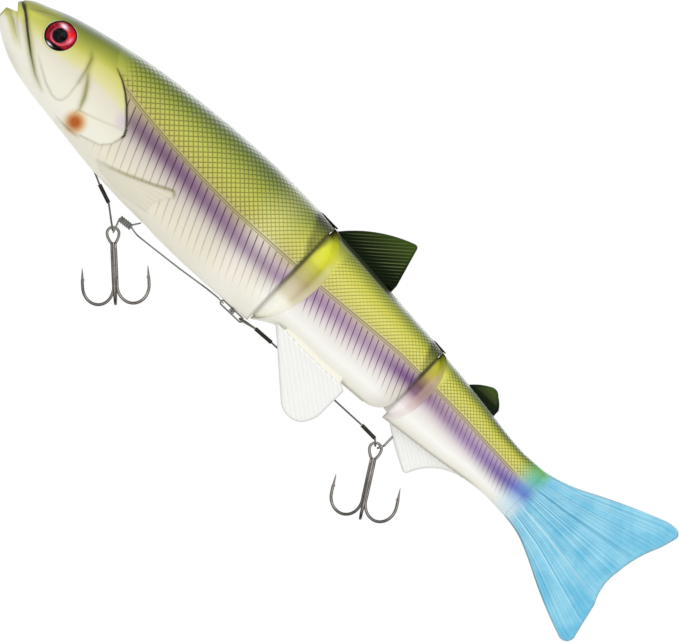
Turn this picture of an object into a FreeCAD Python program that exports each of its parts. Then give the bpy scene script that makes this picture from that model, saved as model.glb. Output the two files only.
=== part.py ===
"""Three-section swimbait with a soft tail, belly wire rig and two treble hooks.

Millimetres. X runs from the nose to the tail, Z is up towards the dorsal fin, and the
fish's left flank faces -Y. The origin is the mouth of the tube that the line runs through.
"""

import FreeCAD, Part
import math
import os

import Sketcher
from FreeCAD import Placement, Rotation, Vector

doc = FreeCAD.newDocument("Swimbait")
sheet = doc.addObject("Spreadsheet::Sheet", "Sizes")

NOSE_TO_TAIL = Vector(1, 0, 0)
ACROSS = Vector(0, 1, 0)
UP = Vector(0, 0, 1)
FAR = 60.0                     # reach of a cutting tool that only has to pass the body

# ---------------------------------------------------------------- driving dimensions
# Each station of the body: its place, the back's height, the belly's height, half the girth.
STATIONS = {
    "tip": (-2.9, -1.5, -3.9, 1.2),
    "lip": (-0.6, 3.7, -6.6, 3.6),
    "brow": (6.5, 7.3, -10.8, 6.6),
    "orbit": (14.6, 10.3, -13.5, 8.8),
    "gill": (31.0, 14.1, -16.1, 10.9),
    "shoulder": (52.0, 17.2, -18.8, 12.0),
    "deepest": (84.0, 19.2, -20.1, 12.6),
    "front_rim": (112.0, 18.3, -19.2, 11.6),
    "collar": (112.0, 17.9, -18.4, 11.1),
    "belly_step": (120.0, 17.3, -14.3, 10.8),
    "saddle": (138.0, 15.6, -14.0, 10.0),
    "rear_rim": (160.4, 13.6, -12.8, 8.4),
    "rear_collar": (160.4, 13.3, -12.6, 8.1),
    "vent": (178.0, 10.9, -10.8, 6.3),
    "wrist": (197.0, 8.2, -8.4, 4.2),
    "stump": (206.5, 8.5, -8.8, 3.2),
}
STATION_SIZES = ("x", "back", "belly", "half")

# Each point of the rig: what its place is counted from, how far along it is from there and
# how far it hangs under the belly.
RIG_POINTS = {
    "crimp_front": ("throat_x", 3.3, 1.45),
    "crimp_rear": ("throat_x", 9.0, 3.15),
    "knot_front": ("throat_x", 14.5, 3.9),
    "front_hook": ("throat_x", 16.1, 8.4),
    "knot_rear": ("throat_x", 18.9, 3.3),
    "line_dip": ("throat_x", 21.5, 3.75),
    "line_rise": ("throat_x", 27.5, 3.05),
    "line_middle": ("front_rim_x", -25.0, 2.0),
    "line_rear": ("front_rim_x", -15.0, 1.0),
    "line_end": ("front_rim_x", -10.4, 0.85),
    "second_seat": ("front_rim_x", -1.9, 1.33),
    "second_crimp_front": ("front_rim_x", 3.5, 3.2),
    "second_crimp_rear": ("front_rim_x", 9.8, 5.2),
    "wire_rear": ("rear_rim_x", -2.6, 5.6),
    "third_crimp_front": ("rear_rim_x", -2.5, 5.6),
    "third_crimp_rear": ("rear_rim_x", 3.1, 6.45),
    "rear_hook": ("rear_rim_x", 5.3, 8.8),
}
POINT_SIZES = ("along", "drop")

DIMENSIONS = {
    # body shells
    "waist_share": 0.54,        # height of the widest level, as a share of the depth
    "wall": 1.8,
    "rear_wall": 1.6,
    "bulkhead": 4.0,
    "lug_root": 3.2,            # how deep the lugs' ends lie in the bulkhead
    "cavity_front": 8.0,
    "collar_solid": 12.0,
    "tail_block": 13.0,
    "upper_gape": 48.0,         # slopes of the two jaws at the mouth, in degrees
    "lower_gape": 19.2,
    "mouth_depth": 3.4,
    # section joints
    "joint_gap": 0.5,
    "joint_travel": 30.0,
    "swing_clearance": 4.0,     # degrees that a slot opens past what swings in it
    "rim_overshoot": 1.0,       # how far a cut runs past a rim
    "collar_flare": 38.0,
    "pin_radius": 0.75,
    "pin_running": 0.05,
    "pin_reach": 0.62,          # share of the nose's height that the pin runs through
    "lug_width": 5.2,
    "lug_thickness": 1.6,
    "lug_level": 0.42,          # lugs' height, as a share of the nose's height
    "lug_slot_gap": 0.3,
    "corner_round": 7.0,
    # line tube
    "throat_x": 49.5,
    "bore_radius": 1.0,
    "tube_wall": 1.0,
    "way_in_radius": 1.3,       # room ahead of the tube, between the jaws
    "leader_depth": 2.56,       # how far inside the throat the leader ends
    "flare_length": 3.2,
    "flare_radius": 1.75,
    # eyes
    "eye_x": 14.6,
    "eye_z": 3.7,
    "eye_radius": 4.75,
    "eye_depth": 1.5,
    "iris_thickness": 0.7,
    "lens_height": 2.3,
    "eye_clearance": 0.05,
    "eye_boss": 1.2,
    "eye_yaw": 10.0,
    "eye_tilt": 14.0,
    # ballast
    "ballast_x": 57.0,
    "ballast_length": 42.0,
    "ballast_level": -10.5,
    "mid_ballast_along": 14.0,
    "mid_ballast_length": 18.0,
    "mid_ballast_level": -9.0,
    # dorsal fin
    "dorsal_along": 1.0,        # behind the front joint
    "dorsal_length": 24.2,
    "dorsal_rise": -0.3,
    "dorsal_height": 13.6,
    "dorsal_root": 2.2,
    "dorsal_edge": 1.0,
    "fin_tab": 6.5,             # how far inside the body a fin's taper starts
    # adipose fin
    "adipose_along": 12.2,      # behind the rear joint
    "adipose_length": 11.8,
    "adipose_rise": 1.3,
    "adipose_height": 3.8,
    "adipose_root": 1.8,
    "adipose_edge": 1.0,
    # pelvic fins
    "pelvic_along": 6.5,
    "pelvic_length": 28.6,
    "pelvic_rise": 0.3,
    "pelvic_height": 18.0,
    "pelvic_root": 1.4,
    "pelvic_edge": 0.8,
    "pelvic_spread": 4.2,
    "pelvic_splay": 12.0,
    # anal fin
    "anal_along": 2.6,
    "anal_share": 0.596529284,  # of the run from the rear joint to the stump
    "anal_rise": 0.4,
    "anal_height": 7.8,
    "anal_root": 1.4,
    "anal_edge": 0.8,
    # tail
    "tail_along": 0.3,          # behind the stump
    "tail_rise": 0.0,
    "tail_length": 41.7,
    "tail_depth": 23.2,
    "tail_root": 5.2,
    "tail_edge": 1.3,
    "tail_travel": 18.0,
    "shoulder_clearance": 2.0,
    "bead_radius": 1.5,
    "bead_height": 12.0,
    "bead_gap": 0.3,
    "bead_setback": 3.5,
    "neck_thickness": 1.2,
    "neck_root": 2.0,           # how far the neck runs into the tail
    "bead_wire": 0.5,
    # wire rig
    "wire_radius": 0.27,
    "stinger_radius": 0.25,
    "crimp_radius": 0.6,
    "loop_half": 0.86,
    "loop_seat": 0.85,
    "second_loop_half": 1.35,
    "second_loop_roll": 8.0,
    "line_bend": 8.0,
    "hanger_along": -5.1,       # ahead of the front joint
    "hanger_ring": 1.3,
    "hanger_wire": 0.3,
    "link_drop": 1.2,
    "link_length": 5.0,
    "link_height": 1.45,
    "link_wire": 0.25,
    "link_offset": 0.3,
    "link_play": 0.65,
    "knot_ring": 0.72,
    "knot_wire": 0.36,
    "knot_turns": 6,
    "tag_reach": 1.5,
    "tag_rise": 2.2,
    "line_loop": 0.9,
    "line_loop_wire": 0.2,
    "rear_hanger_ring": 0.98,
    "rear_hanger_length": 10.0,
    "rear_hanger_stem": 0.36,
    "rear_hanger_lean": 27.0,
    # treble hooks
    "hook_wire": 0.5,
    "hook_eye": 1.7,
    "hook_shank": 15.5,
    "hook_gape": 5.4,
    "hook_leg": 3.4,
    "hook_point": 2.4,
    "hook_tip": 0.05,
    "hook_gap": 0.01,           # between the shanks of a treble
    "hook_drop": 0.3,           # from the ring down to the third shank
    "front_hook_rest": 46.0,
    "rear_hook_rest": 31.0,
}

# Sizes that follow from others.
DERIVED = {
    "anal_length": "=(stump_x - rear_rim_x) * anal_share",
}


def fill_sheet():
    row = 1
    cells = []
    for station, sizes in STATIONS.items():
        for name, value in zip(STATION_SIZES, sizes):
            cells.append((station + "_" + name, value))
    for point, sizes in RIG_POINTS.items():
        for name, value in zip(POINT_SIZES, sizes[1:]):
            cells.append((point + "_" + name, value))
    cells.extend(DIMENSIONS.items())
    cells.extend(DERIVED.items())
    for alias, value in cells:
        sheet.set("A%d" % row, alias)
        sheet.set("B%d" % row, str(value))
        sheet.setAlias("B%d" % row, alias)
        row += 1
    doc.recompute()


def size(alias):
    return float(sheet.get(alias))


fill_sheet()


# ---------------------------------------------------------------- the body's own lines
def smooth(x, places, values):
    """Cubic curve through the stations, straight on past both ends."""
    slopes = []
    last = len(places) - 1
    for i in range(len(places)):
        before = max(i - 1, 0)
        after = min(i + 1, last)
        slopes.append((values[after] - values[before]) / (places[after] - places[before]))
    if x <= places[0]:
        return values[0] + slopes[0] * (x - places[0])
    if x >= places[last]:
        return values[last] + slopes[last] * (x - places[last])
    i = max(n for n in range(last) if places[n] <= x)
    span = places[i + 1] - places[i]
    t = (x - places[i]) / span
    start = (1 + 2 * t) * (1 - t) ** 2 * values[i] + t * (1 - t) ** 2 * span * slopes[i]
    end = t * t * (3 - 2 * t) * values[i + 1] + t * t * (t - 1) * span * slopes[i + 1]
    return start + end


class Profile:
    """Back, belly and girth of one section of the body."""

    def __init__(self, *names):
        self.places = [size(name + "_x") for name in names]
        self.backs = [size(name + "_back") for name in names]
        self.bellies = [size(name + "_belly") for name in names]
        self.halves = [size(name + "_half") for name in names]

    def back(self, x):
        return smooth(x, self.places, self.backs)

    def belly(self, x):
        return smooth(x, self.places, self.bellies)

    def half(self, x):
        return smooth(x, self.places, self.halves)

    def oval(self, x, inset):
        """Half width, widest level, rise above it and drop below it, at x."""
        top = self.back(x) - inset
        bottom = self.belly(x) + inset
        middle = bottom + size("waist_share") * (top - bottom)
        return self.half(x) - inset, middle, top - middle, middle - bottom

    def outline(self, x, inset):
        half, middle, rise, drop = self.oval(x, inset)
        count = 20
        points = []
        for step in range(count):
            turn = 2 * math.pi * step / count
            reach = rise if math.sin(turn) > 0 else drop
            points.append(Vector(x, -half * math.cos(turn), middle + reach * math.sin(turn)))
        curve = Part.BSplineCurve()
        curve.interpolate(Points=points, PeriodicFlag=True)
        return Part.Wire(curve.toShape())

    def loft(self, start, end, inset=0.0, step=9.0):
        spans = max(2, round((end - start) / step))
        stations = [start + (end - start) * n / spans for n in range(spans + 1)]
        return Part.makeLoft([self.outline(x, inset) for x in stations], True)

    def side(self, x, z):
        """Distance from the middle plane to the flank, at x and height z."""
        half, middle, rise, drop = self.oval(x, 0.0)
        reach = rise if z > middle else drop
        return half * math.sqrt(max(0.0, 1 - ((z - middle) / reach) ** 2))


FRONT = Profile("tip", "lip", "brow", "orbit", "gill", "shoulder", "deepest", "front_rim")
MID = Profile("collar", "belly_step", "saddle", "rear_rim")
REAR = Profile("rear_collar", "vent", "wrist", "stump")

FRONT_PIVOT = size("front_rim_x")
REAR_PIVOT = size("rear_rim_x")
BEAD_X = size("stump_x") - size("bead_setback")
HANGER_X = FRONT_PIVOT + size("hanger_along")


# ---------------------------------------------------------------- helpers
def bind(item, name, expression):
    item.setExpression(name, expression)


def feature(label, shape):
    item = doc.addObject("Part::Feature", label)
    item.Shape = shape
    item.Placement = Placement()
    return item


def turn_to(direction):
    return Rotation(UP, direction)


def rod(label, start, end, radius):
    """A round bar from start to end, its radius bound to the sheet."""
    item = doc.addObject("Part::Cylinder", label)
    bind(item, "Radius", radius)
    item.Height = (end - start).Length
    item.Placement = Placement(start, turn_to(end - start))
    return item


def ring(label, centre, axis, ring_radius, wire_radius):
    item = doc.addObject("Part::Torus", label)
    bind(item, "Radius1", ring_radius)
    bind(item, "Radius2", wire_radius)
    item.Placement = Placement(centre, turn_to(axis))
    return item


def joined(label, pieces):
    item = doc.addObject("Part::MultiFuse", label)
    item.Shapes = pieces
    return item


def group(label, pieces):
    item = doc.addObject("Part::Compound", label)
    item.Links = pieces
    return item


def body(label):
    return doc.addObject("PartDesign::Body", label)


def sketch(owner, name, role):
    drawing = owner.newObject("Sketcher::SketchObject", name)
    plane = next(part for part in owner.Origin.OriginFeatures if part.Role == role)
    drawing.AttachmentSupport = (plane, [""])
    drawing.MapMode = "FlatFace"
    return drawing


def fix(drawing, geometry, end, point, across, along):
    """Hold one end of a sketch line, which is at point, with the two expressions."""
    for kind, value, expression in (("DistanceX", point.x, across), ("DistanceY", point.y, along)):
        held = Sketcher.Constraint(kind, -1, 1, geometry, end, value)
        number = drawing.addConstraint(held)
        drawing.setExpression("Constraints[%d]" % number, expression)


def circle(drawing, radius, start):
    number = drawing.addGeometry(Part.Circle(Vector(), UP, start), False)
    drawing.addConstraint(Sketcher.Constraint("Coincident", number, 3, -1, 1))
    constraint = drawing.addConstraint(Sketcher.Constraint("Radius", number, start))
    drawing.setExpression("Constraints[%d]" % constraint, radius)


def total(names):
    return sum(size(name) for name in names)


def sum_of(names):
    return " + ".join("Sizes." + name for name in names)


def outline(drawing, corners, x_places, x_size, y_places, y_size):
    """A closed outline: corners are shares of the two sizes, and each may bulge to the next.

    The outline starts at the sum of the named places. A bulge is the arc's height over its
    chord, positive to the left of the way round.
    """
    points = []
    for share_x, share_y, bulge in corners:
        across = total(x_places) + share_x * size(x_size)
        along = total(y_places) + share_y * size(y_size)
        points.append(Vector(across, along, 0))
    numbers = []
    ends = []
    for i, (share_x, share_y, bulge) in enumerate(corners):
        start = points[i]
        chord = points[(i + 1) % len(points)] - start
        if not bulge:
            edge = Part.LineSegment(start, start + chord)
            ends.append((1, 2))
        else:
            # a sketch's arc runs anticlockwise, so one that bulges left is drawn from its far end
            tall = abs(bulge) * chord.Length
            radius = (chord.Length ** 2 / 4 + tall ** 2) / (2 * tall)
            left = Vector(-chord.y, chord.x, 0) * (math.copysign(1, bulge) / chord.Length)
            centre = start + chord * 0.5 - left * (radius - tall)
            first, last = (start + chord, start) if bulge > 0 else (start, start + chord)
            begin = math.atan2(first.y - centre.y, first.x - centre.x)
            finish = math.atan2(last.y - centre.y, last.x - centre.x)
            edge = Part.ArcOfCircle(Part.Circle(centre, UP, radius), begin, finish)
            ends.append((2, 1) if bulge > 0 else (1, 2))
        numbers.append(drawing.addGeometry(edge, False))
    for i, number in enumerate(numbers):
        after = (i + 1) % len(numbers)
        meet = Sketcher.Constraint("Coincident", number, ends[i][1], numbers[after], ends[after][0])
        drawing.addConstraint(meet)
    for i, (share_x, share_y, bulge) in enumerate(corners):
        across = "%s + %.4f * Sizes.%s" % (sum_of(x_places), share_x, x_size)
        along = "%s + %.4f * Sizes.%s" % (sum_of(y_places), share_y, y_size)
        fix(drawing, numbers[i], ends[i][0], points[i], across, along)
        if bulge:
            radius = drawing.Geometry[numbers[i]].Radius
            drawing.addConstraint(Sketcher.Constraint("Radius", numbers[i], radius))


def pad(owner, profile, length):
    item = owner.newObject("PartDesign::Pad", owner.Name + "_pad")
    item.Profile = profile
    item.SideType = "Symmetric"
    bind(item, "Length", length)
    return item


def taper(label, start, end, root, edge, direction, breadth=FAR):
    """A wedge, thick at start and thin at end, that gives a fin its section."""
    item = doc.addObject("Part::Wedge", label)
    item.Xmin = -breadth
    item.Xmax = breadth
    item.X2min = -breadth
    item.X2max = breadth
    item.Ymin = 0.0
    item.Ymax = (end - start).Length
    bind(item, "Zmin", "-%s / 2" % root)
    bind(item, "Zmax", "%s / 2" % root)
    bind(item, "Z2min", "-%s / 2" % edge)
    bind(item, "Z2max", "%s / 2" % edge)
    item.Placement = Placement(start, direction)
    return item


def cut_from(label, base, tool):
    """What is left of base once tool is cut out of it."""
    item = doc.addObject("Part::Cut", label)
    item.Base = base
    item.Tool = tool
    return item


def common(label, base, tool):
    item = doc.addObject("Part::Common", label)
    item.Base = base
    item.Tool = tool
    return item


def bent_path(points, radius):
    """Straight runs with a tangent arc of the given radius at each inner point."""
    edges = []
    here = points[0]
    for before, corner, after in zip(points, points[1:], points[2:]):
        back = (before - corner).normalize()
        ahead = (after - corner).normalize()
        half_angle = back.getAngle(ahead) / 2
        reach = radius / math.tan(half_angle)
        inward = (back + ahead).normalize()
        start = corner + back * reach
        end = corner + ahead * reach
        middle = corner + inward * (radius / math.sin(half_angle) - radius)
        if (start - here).Length > 1e-4:
            edges.append(Part.LineSegment(here, start).toShape())
        edges.append(Part.Arc(start, middle, end).toShape())
        here = end
    if (points[-1] - here).Length > 1e-4:
        edges.append(Part.LineSegment(here, points[-1]).toShape())
    return Part.Wire(edges)


def wire_along(path, radius):
    first = path.Edges[0]
    start = first.valueAt(first.FirstParameter)
    heading = first.tangentAt(first.FirstParameter)
    section = Part.Wire(Part.Circle(start, heading, radius).toShape())
    return path.makePipeShell([section], True, True)


def wire_loop(start, seat, side, half, radius, mouth=0.32):
    """A wire that leaves start, goes round its seat and comes back beside itself.

    side is the direction that the loop is wide in, and half is half its width.
    """
    ahead = (seat - start).normalize()
    wide = (side - ahead * side.dot(ahead)).normalize()
    centre = seat - ahead * half
    away = (centre - start).Length
    lean = math.atan2(mouth, -away)
    touch = lean - math.acos(half / math.hypot(mouth, away))
    along = ahead * (half * math.cos(touch))
    across = wide * (half * math.sin(touch))
    out = Part.LineSegment(start + wide * mouth, centre + along + across)
    bend = Part.Arc(centre + along + across, seat, centre + along - across)
    home = Part.LineSegment(centre + along - across, start - wide * mouth)
    return wire_along(Part.Wire([out.toShape(), bend.toShape(), home.toShape()]), radius)


def hung(profile, point, y=0.0):
    """A named point of the rig, under this section's belly."""
    x = size(RIG_POINTS[point][0]) + size(point + "_along")
    return Vector(x, y, profile.belly(x) - size(point + "_drop"))


def block(x0, x1, z0, z1, y0=-FAR, y1=FAR):
    return Part.makeBox(x1 - x0, y1 - y0, z1 - z0, Vector(x0, y0, z0))


def prism(corners, axis, reach=FAR):
    """A straight prism, both ways along axis from the plane of its corners."""
    start = [corner - axis * reach for corner in corners]
    face = Part.Face(Part.makePolygon(start + [start[0]]))
    return face.extrude(axis * (2 * reach))


def halves(prefix, solid):
    """The left and right mouldings, parted on the middle plane."""
    left = solid.common(block(-FAR, 6 * FAR, -FAR, FAR, -FAR, 0.0))
    right = left.mirror(Vector(), ACROSS)
    feature(prefix + "_shell_left", left.Solids[0])
    feature(prefix + "_shell_right", right.Solids[0])


# ---------------------------------------------------------------- section joints
def nose(profile, pivot, inset):
    """Rounded vertical nose of a section, turned about the hinge pin."""
    half, middle, rise, drop = profile.oval(pivot, inset)
    centre = Vector(pivot, 0, middle)
    side = Vector(pivot + half, 0, middle)
    top = Vector(pivot, 0, middle + rise)
    bottom = Vector(pivot, 0, middle - drop)
    quarter = math.pi / 2
    upper = Part.ArcOfEllipse(Part.Ellipse(top, side, centre), 0, quarter)
    lower = Part.ArcOfEllipse(Part.Ellipse(bottom, side, centre), 0, quarter)
    axis = Part.LineSegment(bottom, top)
    edges = Part.sortEdges([upper.toShape(), lower.toShape(), axis.toShape()])[0]
    return Part.Face(Part.Wire(edges)).revolve(centre, UP, 360)


def swing_room(pivot):
    """Everything ahead of the flared collar, where the section in front swings."""
    flare = math.tan(math.radians(size("collar_flare")))
    ahead = pivot + size("joint_gap") / 2
    corners = [
        Vector(pivot - FAR, -FAR, 0),
        Vector(ahead + FAR * flare, -FAR, 0),
        Vector(ahead, 0, 0),
        Vector(ahead + FAR * flare, FAR, 0),
        Vector(pivot - FAR, FAR, 0),
    ]
    return prism(corners, UP)


def joint(name, profile, pivot, wall):
    """Hinge pin and lugs of one joint, and what the next section's nose is cut by."""
    inset = wall + size("joint_gap")
    half, middle, rise, drop = profile.oval(pivot, inset)
    reach = size("pin_reach")
    foot = Vector(pivot, 0, middle - reach * drop)
    head = Vector(pivot, 0, middle + reach * rise)
    pin = rod(name + "_hinge_pin", foot, head, "Sizes.pin_radius")
    socket_floor = pivot - half - size("joint_gap")
    lug_root = socket_floor - size("lug_root")
    lugs = []
    slots = []
    for place, level in (("upper", middle + size("lug_level") * rise),
                         ("lower", middle - size("lug_level") * drop)):
        lug = body(name + "_lug_" + place)
        plate = sketch(lug, lug.Name + "_outline", "XY_Plane")
        lug_outline(plate, pivot - lug_root)
        pad(lug, plate, "Sizes.lug_thickness")
        lug.Placement = Placement(Vector(pivot, 0, level), Rotation())
        lugs.append(lug)
        slots.append(lug_room(Vector(pivot, 0, level)))
    return pin, group(name + "_hinge_lugs", lugs), slots, socket_floor


def lug_room(centre):
    """Slot for a lug in the nose: round behind the pin, open ahead as wide as the lug swings."""
    tall = size("lug_thickness") / 2 + size("lug_slot_gap")
    room = size("lug_width") / 2 + size("joint_gap")
    swing = math.radians(size("joint_travel") + size("swing_clearance"))
    ahead = Vector(-math.cos(swing), math.sin(swing), 0) * FAR
    left = centre + Vector(room * math.sin(swing), room * math.cos(swing), 0)
    right = centre + Vector(room * math.sin(swing), -room * math.cos(swing), 0)
    mirrored = Vector(ahead.x, -ahead.y, 0)
    seat = Part.makeCylinder(room, 2 * tall, centre - UP * tall, UP)
    return seat.fuse(prism([left, left + ahead, right + mirrored, right], UP, tall))


def lug_outline(drawing, length):
    """A tongue with a round end about the pin and a hole for it."""
    half = size("lug_width") / 2
    corners = [Vector(-length, -half, 0), Vector(0, -half, 0), Vector(0, half, 0), Vector(-length, half, 0)]
    lower = drawing.addGeometry(Part.LineSegment(corners[0], corners[1]), False)
    arc = Part.ArcOfCircle(Part.Circle(Vector(), UP, half), -math.pi / 2, math.pi / 2)
    end = drawing.addGeometry(arc, False)
    upper = drawing.addGeometry(Part.LineSegment(corners[2], corners[3]), False)
    root = drawing.addGeometry(Part.LineSegment(corners[3], corners[0]), False)
    for kind, first, first_end, second, second_end in (
            ("Tangent", lower, 2, end, 1), ("Tangent", end, 2, upper, 1),
            ("Coincident", upper, 2, root, 1), ("Coincident", root, 2, lower, 1)):
        drawing.addConstraint(Sketcher.Constraint(kind, first, first_end, second, second_end))
    drawing.addConstraint(Sketcher.Constraint("Coincident", end, 3, -1, 1))
    drawing.addConstraint(Sketcher.Constraint("Horizontal", lower))
    drawing.addConstraint(Sketcher.Constraint("Horizontal", upper))
    drawing.addConstraint(Sketcher.Constraint("Vertical", root))
    drawing.addConstraint(Sketcher.Constraint("DistanceX", root, 2, -1, 1, length))
    width = drawing.addConstraint(Sketcher.Constraint("Radius", end, half))
    drawing.setExpression("Constraints[%d]" % width, "Sizes.lug_width / 2")
    circle(drawing, "Sizes.pin_radius + Sizes.pin_running", size("pin_radius") + size("pin_running"))


# ---------------------------------------------------------------- front section
def throat_angle():
    drop = -FRONT.belly(size("throat_x"))
    return math.atan2(drop, size("throat_x"))


TUBE_RADIUS = size("bore_radius") + size("tube_wall")
TUBE_LENGTH = math.hypot(size("throat_x"), FRONT.belly(size("throat_x")))
TUBE_WAY = Vector(math.cos(throat_angle()), 0, -math.sin(throat_angle()))
LEADER_ROOT = TUBE_WAY * (TUBE_LENGTH - size("leader_depth"))


def make_line_tube(outer):
    """The tube that the fishing line runs through, flared where it leaves the throat."""
    turn = turn_to(TUBE_WAY)
    past = Part.makeCylinder(TUBE_RADIUS, TUBE_LENGTH + FAR, Vector(), TUBE_WAY)
    bore = Part.makeCylinder(size("bore_radius"), 2 * TUBE_LENGTH, TUBE_WAY * -1, TUBE_WAY)
    start = TUBE_LENGTH - size("flare_length")
    spread = (size("flare_radius") - size("bore_radius")) / size("flare_length")
    flare = Part.makeCone(size("bore_radius"), size("bore_radius") + spread * FAR, FAR)
    flare.Placement = Placement(TUBE_WAY * start, turn)
    tube = past.common(outer).cut([bore, flare])
    feature("line_tube", max(tube.Solids, key=lambda solid: solid.Volume))
    way_in = Part.makeCylinder(size("way_in_radius"), FAR, Vector(), TUBE_WAY * -1)
    return past, way_in


def mouth():
    """The opening between the jaws, deepest at the line tube."""
    apex = Vector(size("tip_x") + size("mouth_depth"), 0, 0)
    upper = math.radians(size("upper_gape"))
    lower = math.radians(size("lower_gape"))
    corners = [
        apex,
        apex + Vector(-FAR, 0, FAR * math.tan(upper)),
        apex + Vector(-FAR, 0, -FAR * math.tan(lower)),
    ]
    return prism(corners, ACROSS)


def eye_placement(side):
    """Seat of an eye: its own Z points out of the head."""
    flank = FRONT.side(size("eye_x"), size("eye_z"))
    yaw = math.radians(size("eye_yaw"))
    tilt = math.radians(size("eye_tilt"))
    outward = Vector(-math.sin(yaw), side * math.cos(yaw), math.tan(tilt)).normalize()
    surface = Vector(size("eye_x"), side * flank, size("eye_z"))
    return Placement(surface - outward * size("eye_depth"), turn_to(outward)), outward


def make_eye(name, side):
    """Iris disc and clear dome, and the pocket and boss that hold them."""
    seat, outward = eye_placement(side)
    iris = doc.addObject("Part::Cylinder", "eye_iris_" + name)
    bind(iris, "Radius", "Sizes.eye_radius")
    bind(iris, "Height", "Sizes.iris_thickness")
    iris.Placement = seat
    lens = body("eye_lens_" + name)
    dome = sketch(lens, lens.Name + "_profile", "XZ_Plane")
    base = size("eye_radius")
    height = size("lens_height")
    radius = (base ** 2 + height ** 2) / (2 * height)
    centre = Vector(0, height - radius, 0)
    start = math.atan2(radius - height, base)
    arc = Part.ArcOfCircle(Part.Circle(centre, UP, radius), start, math.pi / 2)
    curve = dome.addGeometry(arc, False)
    floor = dome.addGeometry(Part.LineSegment(Vector(), Vector(base, 0, 0)), False)
    axis = dome.addGeometry(Part.LineSegment(Vector(0, height, 0), Vector()), False)
    dome.addConstraint(Sketcher.Constraint("Coincident", floor, 2, curve, 1))
    dome.addConstraint(Sketcher.Constraint("Coincident", curve, 2, axis, 1))
    dome.addConstraint(Sketcher.Constraint("Coincident", axis, 2, floor, 1))
    dome.addConstraint(Sketcher.Constraint("Coincident", floor, 1, -1, 1))
    dome.addConstraint(Sketcher.Constraint("Horizontal", floor))
    dome.addConstraint(Sketcher.Constraint("Vertical", axis))
    wide = dome.addConstraint(Sketcher.Constraint("DistanceX", floor, 1, floor, 2, base))
    tall = dome.addConstraint(Sketcher.Constraint("DistanceY", axis, 2, axis, 1, height))
    dome.addConstraint(Sketcher.Constraint("PointOnObject", curve, 3, -2))
    dome.setExpression("Constraints[%d]" % wide, "Sizes.eye_radius")
    dome.setExpression("Constraints[%d]" % tall, "Sizes.lens_height")
    turned = lens.newObject("PartDesign::Revolution", lens.Name + "_turned")
    turned.Profile = dome
    turned.ReferenceAxis = (dome, ["V_Axis"])
    turned.Angle = 360
    lens.Placement = Placement(seat.Base + outward * size("iris_thickness"), seat.Rotation)
    room = size("eye_radius") + size("eye_clearance")
    pocket = Part.makeCylinder(room, FAR, seat.Base, outward)
    inner = seat.Base - outward * size("eye_boss")
    boss = Part.makeCylinder(room + size("eye_boss"), FAR, inner, outward)
    return pocket, boss


def make_front(hanger_shape):
    """Head and shoulders: two shells about a closed chamber and a socket for the joint."""
    wall = size("wall")
    outer = front_body()
    past, way_in = make_line_tube(outer)
    pin, lugs, slots, floor = joint("front", FRONT, FRONT_PIVOT, wall)
    chamber_end = floor - size("bulkhead")
    chamber = FRONT.loft(size("cavity_front"), chamber_end, wall)
    pockets = []
    for name, side in (("left", -1), ("right", 1)):
        pocket, boss = make_eye(name, side)
        pockets.append(pocket)
        chamber = chamber.cut(boss)
    socket = FRONT.loft(floor, FRONT_PIVOT + size("rim_overshoot"), wall)
    doc.recompute()
    start = size("ballast_x")
    weight = chamber.common(block(start, start + size("ballast_length"), -FAR, size("ballast_level")))
    feature("front_ballast", weight.Solids[0])
    solid = outer.cut([chamber, socket, mouth(), way_in, past, lugs.Shape, hanger_shape] + pockets)
    halves("head", max(solid.Solids, key=lambda piece: piece.Volume))
    return pin, slots


def front_body():
    """Outside of the front section, its stations closer together towards the nose."""
    rings = 17
    crowding = 1.5
    start = size("tip_x")
    shares = [n / (rings - 1) for n in range(rings)]
    stations = [start + (FRONT_PIVOT - start) * share ** crowding for share in shares]
    return Part.makeLoft([FRONT.outline(x, 0.0) for x in stations], True)


# ---------------------------------------------------------------- middle section
def make_middle(pin, slots, cuts):
    wall = size("rear_wall")
    outer = MID.loft(FRONT_PIVOT, REAR_PIVOT).cut(swing_room(FRONT_PIVOT))
    knuckle = nose(FRONT, FRONT_PIVOT, size("wall") + size("joint_gap"))
    rear_pin, rear_lugs, rear_slots, floor = joint("rear", MID, REAR_PIVOT, wall)
    chamber = MID.loft(FRONT_PIVOT + size("collar_solid"), floor - size("bulkhead"), wall)
    socket = MID.loft(floor, REAR_PIVOT + size("rim_overshoot"), wall)
    doc.recompute()
    start = FRONT_PIVOT + size("mid_ballast_along")
    room = block(start, start + size("mid_ballast_length"), -FAR, size("mid_ballast_level"))
    feature("mid_ballast", chamber.common(room).cut(cuts).Solids[0])
    solid = outer.fuse(knuckle)
    solid = solid.cut([chamber, socket, lower_corner(), pin.Shape, rear_lugs.Shape] + slots + cuts)
    halves("mid", max(solid.Solids, key=lambda piece: piece.Volume))
    return rear_pin, rear_slots


def lower_corner():
    """The rounded corner at the foot of the middle section's rear rim."""
    radius = size("corner_round")
    x = REAR_PIVOT - radius
    z = MID.belly(REAR_PIVOT) + radius
    corner = block(x, REAR_PIVOT + size("rim_overshoot"), z - 2 * radius, z)
    return corner.cut(Part.makeCylinder(radius, 2 * FAR, Vector(x, -FAR, z), ACROSS))


# ---------------------------------------------------------------- rear section and tail
def make_rear(pin, slots, cuts):
    wall = size("rear_wall")
    stump = size("stump_x")
    outer = REAR.loft(REAR_PIVOT, stump).cut(swing_room(REAR_PIVOT))
    knuckle = nose(MID, REAR_PIVOT, wall + size("joint_gap"))
    chamber = REAR.loft(REAR_PIVOT + size("collar_solid"), stump - size("tail_block"), wall)
    solid = outer.fuse(knuckle).cut([chamber, pin.Shape, keyhole()] + slots + cuts)
    halves("rear", max(solid.Solids, key=lambda piece: piece.Volume))


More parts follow.
